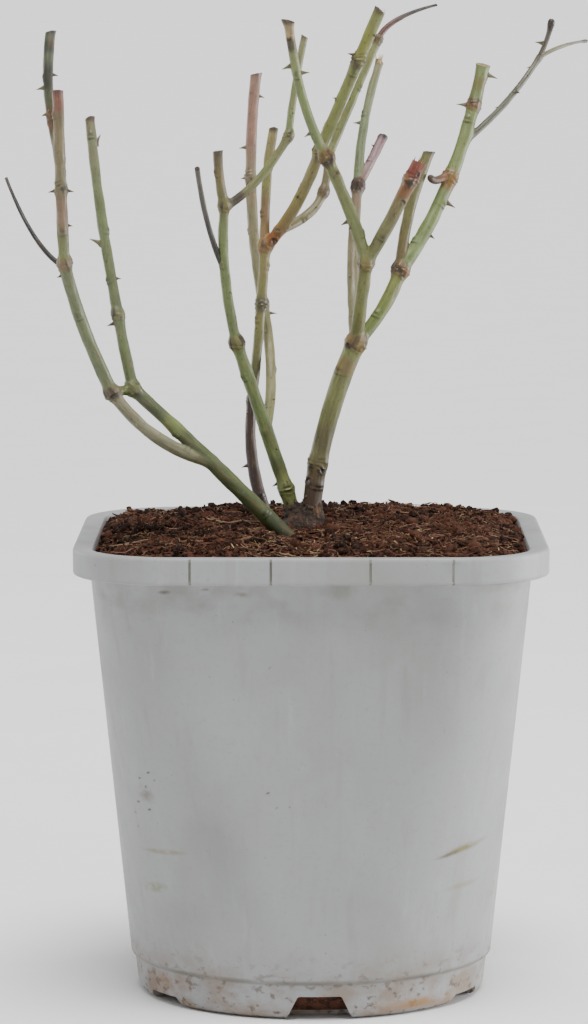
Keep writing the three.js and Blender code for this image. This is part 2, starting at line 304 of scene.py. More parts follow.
class Recipe:
    """A material being put together: a running colour and the nodes that made it."""

    def __init__(self, name: str, attribute: str | None = None) -> None:
        """Starts an empty material.

        Args:
            name: The material's name.
            attribute: Attribute the patterns follow, in millimetres; object places if None.
        """
        self.material = bpy.data.materials.new(name)
        self.material.use_nodes = True
        self.tree = self.material.node_tree
        self.tree.nodes.clear()
        if attribute:
            self.place = add_node(
                self.tree, "ShaderNodeAttribute", {"attribute_name": attribute}
            ).outputs["Vector"]
            self.unit = 1.0
        else:
            self.place = add_node(self.tree, "ShaderNodeTexCoord").outputs["Object"]
            self.unit = 1000.0

    def noise(self, grain: Sequence[float], seed: float = 0.0, detail: float = 3.0) -> Socket:
        """A noise whose patches have a size in millimetres.

        Args:
            grain: Patch size along the pattern's X, Y and Z.
            seed: Shifts the pattern.
            detail: How many finer noises lie on it.

        Returns:
            The socket that gives its value.
        """
        mapping = add_node(
            self.tree,
            "ShaderNodeMapping",
            {"Scale": [self.unit / g for g in grain], "Location": (seed, seed * 1.7, -seed)},
            {"Vector": self.place},
        )
        noise = add_node(
            self.tree,
            "ShaderNodeTexNoise",
            {"Scale": 1.0, "Detail": detail, "Roughness": 0.55},
            {"Vector": mapping.outputs[0]},
        )
        return noise.outputs["Fac"]

    def ranged(self, value: Socket, source: Pair, target: Pair = (0.0, 1.0)) -> Socket:
        """Maps a value from one range to another, clamped.

        Args:
            value: The socket to read.
            source: The value's range.
            target: The range it becomes.

        Returns:
            The socket that gives the mapped value.
        """
        settings = dict(zip((1, 2, 3, 4), (*source, *target)))
        settings["interpolation_type"] = "SMOOTHSTEP"
        return add_node(self.tree, "ShaderNodeMapRange", settings, {0: value}).outputs[0]

    def times(self, a: Socket, b: Socket) -> Socket:
        """The product of two values."""
        return add_node(self.tree, "ShaderNodeMath", {"operation": "MULTIPLY"}, {0: a, 1: b}).outputs[0]

    def mix(self, under: Socket, tone: str, share: Socket) -> Socket:
        """Lays one sRGB hex colour over a running colour, by a share that says how much of it shows."""
        settings = {"data_type": "RGBA", 7: hex_colour(tone)}
        return add_node(self.tree, "ShaderNodeMix", settings, {0: share, 6: under}).outputs[2]

    def share(self, layer: Layer) -> Socket:
        """How much of a layer shows, by its noise."""
        noise = self.noise(layer.grain, layer.seed, layer.detail)
        return self.ranged(noise, (layer.low, layer.high), (layer.least, layer.strength))

    def layers(self, colour: Socket, layers: Iterable[Layer]) -> Socket:
        """Lays noise-shaped tones over a colour, in order.

        Args:
            colour: The colour below them all.
            layers: The tones, lowest first.

        Returns:
            The socket that gives the final colour.
        """
        for layer in layers:
            colour = self.mix(colour, layer.tone, self.share(layer))
        return colour

    def plain(self, tone: str) -> Socket:
        """One plain colour, as the ground for layers.

        Args:
            tone: sRGB hex colour.

        Returns:
            The socket that gives it.
        """
        node = add_node(self.tree, "ShaderNodeRGB")
        node.outputs[0].default_value = hex_colour(tone)
        return node.outputs[0]

    def finish(
        self,
        colour: Socket,
        height: Socket,
        relief: float,
        roughness: Pair,
        gloss: Socket | None = None,
        **settings: float,
    ) -> Finish:
        """Ends the material with its shader.

        Args:
            colour: The base colour.
            height: Value that the bump follows.
            relief: Depth of the bump in millimetres.
            roughness: Roughness where gloss is 0 and where it is 1.
            gloss: What the roughness follows; the bump's height if None.
            **settings: The shader's own values by input name.

        Returns:
            The finished material.
        """
        bump = add_node(
            self.tree,
            "ShaderNodeBump",
            {"Strength": 1.0, "Distance": relief * MM},
            {"Height": height},
        )
        rough = self.ranged(gloss or height, (0.25, 0.75), roughness)
        shader = add_node(
            self.tree,
            "ShaderNodeBsdfPrincipled",
            {key.replace("_", " "): value for key, value in settings.items()},
            {"Base Color": colour, "Roughness": rough, "Normal": bump.outputs[0]},
        )
        output = add_node(self.tree, "ShaderNodeOutputMaterial")
        self.tree.links.new(shader.outputs[0], output.inputs["Surface"])
        return self.material


@dataclass(frozen=True)
class StainOrPaintedShade:
    """A soft stain on the pot's wall, or a soft patch of painted shade on it.

    Attributes:
        x: Place across the front, in millimetres.
        z: Height in millimetres.
        tilt: Turn from level, in degrees.
        size: Half length and half width in millimetres.
        tone: sRGB hex colour.
        strength: Its share in the middle.
        side: Degrees that it is turned round the pot from the front.
    """

    x: float
    z: float
    tilt: float
    size: Pair
    tone: str
    strength: float
    side: float = 0.0


@dataclass(frozen=True)
class DirtAndShadeBelt:
    """A belt of soiling round the pot; the one under the rim is partly painted shade.

    Attributes:
        layer: Its tone, and the noise that breaks it up.
        rise: Heights in metres where it begins and where it is full.
        fall: Heights where it begins to fade and where it ends.
    """

    layer: Layer
    rise: Pair
    fall: Pair


BELOW = (-0.002, -0.001)
POT_DIRT_AND_SHADE = (
    # Dry earth splashed on the foot.
    DirtAndShadeBelt(Layer("#74593a", (14, 14, 9), 0.36, 0.64, 0.7, 6.3, 6.0), BELOW, (0.0, 0.034)),
    # A dark line held by the step over the foot.
    DirtAndShadeBelt(Layer("#544f43", (20, 20, 20), 0.3, 0.6, 0.7, 7.7, 4.0, 0.25), (0.0136, 0.0150), (0.0156, 0.0172)),
    # Grey soiling under the rim, and painted shade from the rim's overhang: darker up to the rim's
    # underside.
    DirtAndShadeBelt(Layer("#5e5a4d", (16, 16, 11), 0.40, 0.70, 0.42, 3.9, 6.0), (0.150, 0.178), (0.1778, 0.1782)),
    # Crusts of earth on the foot.
    DirtAndShadeBelt(Layer("#4a3626", (4, 4, 3), 0.54, 0.66, 0.85, 9.3, 6.0), BELOW, (0.0, 0.034)),
)


@dataclass(frozen=True)
class MouldedPolypropylene:
    """Grey polypropylene, injection moulded and weathered outdoors.

    The mould leaves a fine even grain and a low sheen; years of watering leave
    upright runs, earth on the foot, green film and slanting scuffs. Painted shade darkens
    a soft patch on the left of the front and the belt under the rim.
    """

    name: str = "moulded_polypropylene_weathered"
    tone: str = "#909192"
    mould_grain: float = 0.7
    stains_and_painted_shade: tuple[StainOrPaintedShade, ...] = ()

    def build(self) -> Finish:
        """Puts the material together.

        Returns:
            The finished material.
        """
        recipe = Recipe(self.name)
        colour = recipe.layers(
            recipe.plain(self.tone),
            (
                Layer("#7e7e78", (46, 46, 60), 0.42, 0.72, 0.45, 3.1),
                Layer("#9b9ea0", (30, 30, 44), 0.50, 0.78, 0.45, 8.4),
                Layer("#77746c", (7, 7, 90), 0.54, 0.78, 0.30, 5.2),
                Layer("#a7a8a5", (5, 5, 70), 0.58, 0.80, 0.26, 1.9),
                Layer("#848178", (2.4, 2.4, 2.4), 0.52, 0.72, 0.28, 6.4, 6.0),
                Layer("#4f4b3d", (1.6, 1.6, 1.6), 0.70, 0.76, 0.55, 2.7),
            ),
        )
        split = add_node(recipe.tree, "ShaderNodeSeparateXYZ", {}, {0: recipe.place})
        # Belts of soiling round the pot; the one under the rim also paints the rim's shade.
        for dirt_and_shade_belt in POT_DIRT_AND_SHADE:
            rise = recipe.ranged(split.outputs[2], dirt_and_shade_belt.rise)
            belt = recipe.times(rise, recipe.ranged(split.outputs[2], dirt_and_shade_belt.fall, (1.0, 0.0)))
            share = recipe.times(belt, recipe.share(dirt_and_shade_belt.layer))
            colour = recipe.mix(colour, dirt_and_shade_belt.layer.tone, share)
        # Stains laid on by place, and one soft patch of painted shade.
        for stain_or_shade in self.stains_and_painted_shade:
            turn = math.radians(stain_or_shade.side)
            spot = Matrix.Rotation(turn, 3, "Z") @ Vector((stain_or_shade.x, -66, stain_or_shade.z)) * MM
            mapping = add_node(
                recipe.tree,
                "ShaderNodeMapping",
                {
                    "vector_type": "TEXTURE",
                    "Location": spot,
                    "Rotation": (0, -math.radians(stain_or_shade.tilt), turn),
                    "Scale": (stain_or_shade.size[0] * MM, 0.06, stain_or_shade.size[1] * MM),
                },
                {"Vector": recipe.place},
            )
            length = add_node(
                recipe.tree, "ShaderNodeVectorMath", {"operation": "LENGTH"}, {0: mapping.outputs[0]}
            )
            soft = recipe.ranged(length.outputs["Value"], (0.1, 1.0), (stain_or_shade.strength, 0.0))
            patch = max(5.0, stain_or_shade.size[0] * 0.7)
            torn = recipe.noise((patch, patch, 0.6 * patch), stain_or_shade.x, 6.0)
            broken = recipe.ranged(torn, (0.30, 0.58), (0.12, 1.0))
            colour = recipe.mix(colour, stain_or_shade.tone, recipe.times(soft, broken))
        grain = recipe.noise((self.mould_grain,) * 3, 0.0, 2.0)
        wear = recipe.noise((18, 18, 30), 4.4, 5.0)
        return recipe.finish(colour, grain, 0.05, (0.46, 0.64), wear, IOR=1.49)


@dataclass(frozen=True)
class CompostFinish:
    """Composted bark and peat: a matt, crumbly, open surface with no gloss."""

    name: str
    tone: str
    layers: tuple[Layer, ...]
    relief: float = 0.5

    def build(self) -> Finish:
        """Puts the material together.

        Returns:
            The finished material.
        """
        recipe = Recipe(self.name)
        colour = recipe.layers(recipe.plain(self.tone), self.layers)
        height = recipe.noise((1.6, 1.6, 1.6), 3.0, 6.0)
        return recipe.finish(colour, height, self.relief, (0.85, 0.98), Specular_IOR_Level=0.2)


@dataclass(frozen=True)
class LivingBark:
    """The smooth waxy bark of young rose wood, or the dull corky bark of old wood.

    The cane's own tone rides on the mesh, with painted light and shade laid into it. Fine grain runs along
    it, with pale breathing pores and thin brown weathering, under a satin skin of wax.
    """

    name: str
    roughness: Pair
    relief: float
    rust: float
    run: float = 1.0

    def build(self) -> Finish:
        """Puts the material together.

        Returns:
            The finished material.
        """
        recipe = Recipe(self.name, "grain")
        tone = add_node(recipe.tree, "ShaderNodeAttribute", {"attribute_name": "bark"})
        streak = recipe.noise((0.9, 9.0 * self.run, 1.0), 2.0, 4.0)
        colour = recipe.mix(
            tone.outputs["Color"], "#262214", recipe.ranged(streak, (0.50, 0.76), (0.0, 0.34))
        )
        colour = recipe.mix(colour, "#a09e6e", recipe.ranged(streak, (0.47, 0.24), (0.0, 0.16)))
        colour = recipe.layers(
            colour,
            (
                Layer("#6f4f32", (2.4, 7.0, 1.0), 0.55, 0.70, self.rust, 7.7, 5.0),
                Layer("#33261b", (0.8, 1.7, 1.0), 0.61, 0.70, 0.6, 4.1, 2.0),
                Layer("#95906e", (0.7, 1.3, 1.0), 0.68, 0.76, 0.28, 9.9, 1.0),
            ),
        )
        fibre = recipe.noise((0.5, 4.0 * self.run, 1.0), 1.0, 5.0)
        return recipe.finish(colour, fibre, self.relief, self.roughness, streak)


@dataclass(frozen=True)
class CutWood:
    """Pruned rose wood: a weathered end with fine rays round a soft pith."""

    name: str
    tone: str
    dark: str

    def build(self) -> Finish:
        """Puts the material together.

        Returns:
            The finished material.
        """
        recipe = Recipe(self.name)
        colour = recipe.layers(
            recipe.plain(self.tone),
            (
                Layer(self.dark, (1.1, 1.1, 1.1), 0.42, 0.62, 0.75, 2.2, 5.0),
                Layer("#241c16", (0.5, 0.5, 0.5), 0.58, 0.70, 0.6, 5.5, 3.0),
            ),
        )
        height = recipe.noise((0.4, 0.4, 0.4), 1.0, 4.0)
        return recipe.finish(colour, height, 0.12, (0.7, 0.9))


@dataclass(frozen=True)
class ThornHorn:
    """Rose prickles: hard, dry and horny, dull brown with a paler, slightly glossy tip."""

    name: str
    tone: str

    def build(self) -> Finish:
        """Puts the material together.

        Returns:
            The finished material.
        """
        recipe = Recipe(self.name)
        colour = recipe.layers(
            recipe.plain(self.tone),
            (
                Layer("#6e6346", (1.5, 1.5, 1.5), 0.50, 0.70, 0.5, 3.3, 2.0),
                Layer("#241c16", (1.0, 1.0, 1.0), 0.52, 0.68, 0.6, 6.1, 3.0),
            ),
        )
        height = recipe.noise((0.6, 0.6, 0.6), 8.0, 3.0)
        return recipe.finish(colour, height, 0.08, (0.38, 0.6))


# ---------- pot ----------


def rounded_square(heading: Array, half: float, corner: float) -> Array:
    """Distance from the axis to a rounded square.

    Args:
        heading: Directions in radians.
        half: Half the square's width.
        corner: Corner radius; the same as half gives a circle.

    Returns:
        One distance for each heading, in the unit of half.
    """
    corner = min(corner, half)
    turn = np.mod(heading, math.pi / 2)
    angle = np.minimum(turn, math.pi / 2 - turn)
    centre = half - corner
    along = centre * (np.cos(angle) + np.sin(angle))
    inner = np.maximum(along * along - 2 * centre * centre + corner * corner, 0)
    return np.where(half * np.tan(angle) <= centre, half / np.cos(angle), along + np.sqrt(inner))


class RingSkin:
    """A skin drawn up ring by ring in edit mode: each ring is extruded and shaped to a section."""

    def __init__(self, name: str, ring: Array) -> None:
        """Starts from a circle shaped to the first ring.

        Args:
            name: The piece's name.
            ring: Places of the first ring, in metres.
        """
        deselect_all()
        bpy.ops.mesh.primitive_circle_add(vertices=len(ring), radius=1, fill_type="NGON")
        self.piece = bpy.context.object
        self.piece.name = self.piece.data.name = name
        bpy.ops.object.mode_set(mode="EDIT")
        self.mesh = bmesh.from_edit_mesh(self.piece.data)
        self.mesh.verts.ensure_lookup_table()
        self.last = list(self.mesh.verts)
        self._shape(ring)

    def _shape(self, ring: Array) -> None:
        """Puts the last ring's vertices at new places."""
        for vertex, place in zip(self.last, ring.tolist()):
            vertex.co = place

    def draw_up(self, ring: Array) -> None:
        """Extrudes the last ring's face and shapes it.

        Args:
            ring: Places of the new ring, in metres.
        """
        order = [vertex.co.copy() for vertex in self.last]
        bpy.ops.mesh.extrude_region_move()
        self.mesh = bmesh.from_edit_mesh(self.piece.data)
        fresh = [vertex for vertex in self.mesh.verts if vertex.select]
        found = {tuple(round(c, 7) for c in vertex.co): vertex for vertex in fresh}
        self.last = [found[tuple(round(c, 7) for c in place)] for place in order]
        self._shape(ring)

    def close(self) -> Piece:
        """Leaves edit mode with the skin's faces turned outwards, and gives the piece."""
        close_outwards()
        return self.piece


@dataclass
class NurseryPot:
    """The pot: a round foot that grows into a square top with a banded rim. Millimetres."""

    height: float = 188.5
    rim_half: float = 95.0
    rim_corner: float = 42.0
    rim_band: float = 11.0
    rim_edge: float = 1.3
    body_half: float = 88.0
    body_corner: float = 36.0
    foot_radius: float = 74.2
    foot_line: float = 15.5
    foot_step: float = 1.6
    foot_taper: float = 1.2
    foot_round: float = 4.5
    wall: float = 2.0
    floor: float = 2.5
    ring_points: int = 192
    grooves: tuple[float, ...] = (-47.4, -15.7, 23.2, 55.8)
    groove_width: float = 1.0
    groove_depth: float = 0.45
    slot_widths: Pair = (28.5, 17.5)
    slot_height: float = 9.7
    small_slot_widths: Pair = (26.0, 19.0)
    small_slot_height: float = 4.0
    slot_depth: float = 14.0
    slot_count: int = 3
    first_slot: float = 272.8

    def __post_init__(self) -> None:
        """Works out the headings of the skin's vertices, closer together at the grooves."""
        even = np.arange(self.ring_points) * 2 * math.pi / self.ring_points
        extra = []
        self.groove_headings = []
        for side in range(4):
            for x in self.grooves:
                x = x * (1 if side % 2 == 0 else -0.83)
                middle = math.atan2(-self.rim_half, x) + side * math.pi / 2
                self.groove_headings.append(middle)
                half = self.groove_width / 2 * abs(math.sin(math.atan2(-self.rim_half, x)))
                step = half / math.hypot(self.rim_half, x)
                extra += [middle + k * step for k in (-1.0, -0.55, 0.55, 1.0)]
        extra = np.mod(np.array(extra), 2 * math.pi)
        clear = np.min(np.abs(even[:, None] - extra[None, :]), axis=1) > 0.008
        self.headings = np.sort(np.concatenate([even[clear], extra]))

    @property
    def band_bottom(self) -> float:
        """Height of the rim band's underside."""
        return self.height - self.rim_band

    @property
    def groove_reach(self) -> float:
        """Half a groove's width, as an angle seen from the axis."""
        return self.groove_width / 2 / self.rim_half

    def groove_gap(self, heading: Array) -> Array:
        """The angle from each heading to the nearest groove."""
        gaps = wrapped(np.asarray(heading)[..., None] - np.array(self.groove_headings))
        return np.abs(gaps).min(axis=-1)

    def ring(self, z: float, half: float, corner: float, groove: float = 0.0) -> Array:
        """One ring of the skin.

        Args:
            z: Its height in millimetres.
            half: Half its width.
            corner: Its corner radius.
            groove: How deep the rim's grooves are here.

        Returns:
            Its places in metres.
        """
        radius = rounded_square(self.headings, half, corner)
        if groove:
            radius = radius - groove * (self.groove_gap(self.headings) < 0.75 * self.groove_reach)
        return np.column_stack([polar(radius, self.headings), np.full(len(radius), z)]) * MM

    def wall_size(self, z: float) -> Pair:
        """Half the wall's width and its corner radius at a height.

        Args:
            z: The height in millimetres.

        Returns:
            Half the width, then the corner radius.
        """
        share = (z - self.foot_line) / (self.band_bottom - self.foot_line)
        half = self.foot_radius + (self.body_half - self.foot_radius) * share
        return half, self.foot_radius + (self.body_corner - self.foot_radius) * share

    def wall_ring(self, z: float, inset: float = 0.0) -> Array:
        """One ring of the wall.

        Args:
            z: Its height in millimetres.
            inset: How far it lies inside the outer face.

        Returns:
            Its places in metres.
        """
        half, corner = self.wall_size(z)
        return self.ring(z, half - inset, corner - inset)

    def rim_ring(self, z: float, inset: float, groove: float = 0.0) -> Array:
        """One ring of the rim band, inset from its outer face."""
        return self.ring(z, self.rim_half - inset, self.rim_corner - inset, groove)

    def rings(self) -> list[Array]:
        """The pot's section, from the middle of its foot up, over the rim and down inside.

        Returns:
            The rings in that order.
        """
        foot = self.foot_radius - self.foot_step
        low = foot - self.foot_taper
        line, band, edge, top, wall = self.foot_line, self.band_bottom, self.rim_edge, self.height, self.wall
        quarter = [k / 4 * math.pi / 2 for k in range(5)]
        rings = []
        for turn in quarter:
            inset = self.foot_round * (1 - math.sin(turn))
            rings.append(self.ring(self.foot_round * (1 - math.cos(turn)), low - inset, low))
        rings += [self.ring(line - 1.2, foot, foot), self.ring(line - 0.7, foot + 0.15, foot)]
        outside = [(line - 0.1, 0.25)]
        outside += [(z, 0.0) for z in np.linspace(line + 0.4, band - 1.2, 14)]
        outside += [(band - 0.4, -0.15), (band, -0.7)]
        rings += [self.wall_ring(z, inset) for z, inset in outside]
        for rise, inset in ((0, edge), (edge * 0.3, edge * 0.3), (edge, 0.0)):
            rings.append(self.rim_ring(band + rise, inset))
        for z in (band + edge + 0.5, top - edge - 0.9):
            rings.append(self.rim_ring(z, 0.0, self.groove_depth))
        rings.append(self.rim_ring(top - edge - 0.4, 0.0))
        for turn in quarter[1:]:
            rings.append(self.rim_ring(top - edge * (1 - math.sin(turn)), edge * (1 - math.cos(turn))))
        rings.append(self.rim_ring(top - 0.25, 3.2))
        inside = [(top - 0.3, wall - 1.3), (top - 0.7, wall - 0.35), (top - 1.4, wall)]
        inside += [(z, wall) for z in (top - 5, top - 60, line + 6)]
        rings += [self.wall_ring(z, inset) for z, inset in inside]
        rings.append(self.ring(self.floor + 6, foot - wall, foot))
        rings.append(self.ring(self.floor, foot - wall - 6, foot))
        return rings

    def slot_cutter(self, widths: Pair, height: float, heading: float) -> Piece:
        """A wedge that cuts one drain slot.

        Args:
            widths: Width at the ground and at the top.
            height: Height of the slot.
            heading: Its direction in degrees from +X.

        Returns:
            The cutter, placed.
        """
        deselect_all()
        reach = self.slot_depth + 12
        middle = self.foot_radius - self.slot_depth + reach / 2
        bpy.ops.mesh.primitive_cube_add(size=1, location=(0, 0, 0))
        cutter = bpy.context.object
        bottom = -2.0
        for vertex in cutter.data.vertices:
            width, z = (widths[1], height) if vertex.co.z > 0 else (widths[0], bottom)
            vertex.co = Vector((middle + vertex.co.x * reach, vertex.co.y * width, z)) * MM
        cutter.rotation_euler.z = math.radians(heading)
        bpy.ops.object.transform_apply(location=True, rotation=True, scale=True)
        edit_all(cutter)
        bpy.ops.mesh.bevel(offset=0.8 * MM, segments=2)
        bpy.ops.object.mode_set(mode="OBJECT")
        return cutter

    def build(self, finish: Finish, groove_grime_and_shade: Finish) -> None:
        """Models the pot, cuts its drain slots and dresses it.

        Args:
            finish: The moulded plastic.
            groove_grime_and_shade: The same plastic, darker, for its grooves: the soiling they hold, and
                painted shade in them.
        """
        rings = self.rings()
        skin = RingSkin("nursery_pot", rings[0])
        for ring in rings[1:]:
            skin.draw_up(ring)
        pot = skin.close()
        turn = 360 / self.slot_count
        for k in range(self.slot_count):
            heading = self.first_slot + k * turn
            for cutter in (
                self.slot_cutter(self.slot_widths, self.slot_height, heading),
                self.slot_cutter(self.small_slot_widths, self.small_slot_height, heading + turn / 2),
            ):
                apply_modifier(pot, "BOOLEAN", operation="DIFFERENCE", solver="EXACT", object=cutter)
                bpy.data.objects.remove(cutter)
        shade_smooth(pot, 32)
        settle(pot, [finish, groove_grime_and_shade], ["pot"])
        # Faces in the rim's grooves take the second, darker plastic: soiling, and painted shade in the
        # grooves.
        for face in pot.data.polygons:
            place = face.center / MM
            on_band = self.band_bottom + 0.4 < place.z < self.height and face.normal.z < 0.7
            if on_band and math.hypot(place.x, place.y) > self.body_half:
                if self.groove_gap(math.atan2(place.y, place.x)) < 0.9 * self.groove_reach:
                    face.material_index = 1


# ---------- compost ----------


@dataclass
class Compost:
    """The fill of peat and composted bark. Millimetres."""

    pot: NurseryPot
    top: float = 190.5
    below_rim: float = 2.5
    level_share: float = 0.72
    cells: int = 290
    clearance: float = 0.3
    mound: float = 5.2
    mound_at: Pair = (-3.0, -21.0)
    mound_width: float = 15.0

    def reach(self, heading: Array, z: float = 186.0) -> Array:
        """Distance from the axis to the fill's edge.

        Args:
            heading: Directions in radians.
            z: Height in millimetres.

        Returns:
            One distance for each heading.
        """
        half, corner = self.pot.wall_size(z)
        inset = self.pot.wall + self.clearance
        return rounded_square(heading, half - inset, corner - inset)

    def height_at(self, flat: Array) -> Array:
        """Height of the surface.

        Args:
            flat: Places across the pot in millimetres, one row of X and Y each.

        Returns:
            Its height at each place.
        """
        radius = np.hypot(flat[:, 0], flat[:, 1])
        share = radius / self.reach(np.arctan2(flat[:, 1], flat[:, 0]))
        edge = self.pot.height - self.below_rim
        fall = np.clip((1 - share) / (1 - self.level_share), 0, 1)
        z = edge + (self.top - edge) * np.sin(fall * math.pi / 2)
        at = np.column_stack([flat, np.zeros(len(flat))])
        rough = 1.8 * value_noise(at, 26, 1) + 1.7 * value_noise(at, 11, 2)
        rough += 0.85 * np.abs(value_noise(at, 4.6, 3)) + 0.65 * value_noise(at, 2.3, 4)
        rough += 0.42 * np.abs(value_noise(at, 1.3, 5)) + 0.2 * value_noise(at, 0.7, 6)
        calm = smooth_step(1.0, 0.93, share)
        heap = self.mound * np.exp(-(((flat - self.mound_at) / self.mound_width) ** 2).sum(axis=1))
        return z + heap + rough * (0.35 + 0.65 * calm)

    def body(self, finish: Finish) -> None:
        """Models the fill: a fine rough top over a plain plug.

        Args:
            finish: The compost's material.
        """
        deselect_all()
        bpy.ops.mesh.primitive_grid_add(x_subdivisions=self.cells, y_subdivisions=self.cells, size=2)
        piece = bpy.context.object
        piece.name = piece.data.name = "compost_fill"
        square = mesh_points(piece)[:, :2]
        out = np.max(np.abs(square), axis=1)
        heading = np.arctan2(square[:, 1], square[:, 0])
        flat = polar(out * self.reach(heading), heading)
        move_points(piece, np.column_stack([flat, self.height_at(flat)]) * MM)
        pot = self.pot
        foot = pot.foot_radius - pot.foot_step - pot.wall
        lower = [
            (184.0, 0.0, 0.0),
            (pot.foot_line + 6, pot.foot_radius - pot.wall, pot.foot_radius),
            (pot.floor + 6.3, foot, foot),
            (pot.floor + 0.3, foot - 6, foot),
        ]
        edit_all(piece)
        bpy.ops.mesh.region_to_loop()
        for z, half, corner in lower:
            bpy.ops.mesh.extrude_edges_move()
            grid = bmesh.from_edit_mesh(piece.data)
            for vertex in grid.verts:
                if vertex.select:
                    way = math.atan2(vertex.co.y, vertex.co.x)
                    if half:
                        size = float(rounded_square(np.array([way]), half - 0.3, corner)[0])
                    else:
                        size = float(self.reach(np.array([way]), z)[0])
                    vertex.co = Vector((math.cos(way) * size, math.sin(way) * size, z)) * MM
        bpy.ops.mesh.edge_face_add()
        close_outwards()
        shade_smooth(piece)
        settle(piece, [finish], ["potting_soil"])

    def scatter(self, count: int, rng: np.random.Generator, edge: float = 0.985) -> Array:
        """Seeded places on the surface.

        Args:
            count: How many.
            rng: The seeded generator.
            edge: How near the wall they come, as a share of the way out.

        Returns:
            Their places in millimetres.
        """
        heading = rng.uniform(0, 2 * math.pi, count)
        flat = polar(np.sqrt(rng.uniform(0, 1, count)) * edge * self.reach(heading), heading)
        return np.column_stack([flat, self.height_at(flat)])


def random_turns(count: int, rng: np.random.Generator, tip: float) -> Array:
    """Seeded rotations: any heading, tipped by up to an angle.

    Args:
        count: How many.
        rng: The seeded generator.
        tip: Largest tip from level, in radians.

    Returns:
        One 3 by 3 matrix each.
    """
    spin, lean, roll = (rng.uniform(-1, 1, count) * s for s in (math.pi, tip, tip))
    turns = np.empty((count, 3, 3))
    for k in range(count):
        turn = Matrix.Rotation(spin[k], 3, "Z") @ Matrix.Rotation(lean[k], 3, "Y")
        turns[k] = np.array(turn @ Matrix.Rotation(roll[k], 3, "X"))
    return turns


def copies(
    name: str,
    pattern: Pattern,
    placed: Sequence[Array],
    tones: Array,
    finishes: Finishes,
) -> None:
    """Joins many copies of one small shape into one dressed piece.

    Args:
        name: The joined piece's name.
        pattern: The shape's points and faces.
        placed: The points of each copy, in metres.
        tones: Which of the materials each copy takes.
        finishes: The materials.
    """
    points, faces = pattern
    count = len(points)
    every = [[index + k * count for index in face] for k in range(len(placed)) for face in faces]
    mesh = bpy.data.meshes.new(name)
    mesh.from_pydata(np.concatenate(placed).tolist(), [], every)
    mesh.polygons.foreach_set("material_index", np.repeat(tones, len(faces)).astype(np.int32))
    mesh.update()
    piece = link(name, mesh)
    shade_smooth(piece, 50)
    settle(piece, finishes)


def pattern_of(piece: Piece) -> Pattern:
    """Takes a modelled shape's points and faces, and removes the object.

    Args:
        piece: The modelled shape.

    Returns:
        Its points and its faces.
    """
    deselect_all()
    points = mesh_points(piece)
    faces = [list(face.vertices) for face in piece.data.polygons]
    mesh = piece.data
    bpy.data.objects.remove(piece)
    bpy.data.meshes.remove(mesh)
    return points, faces


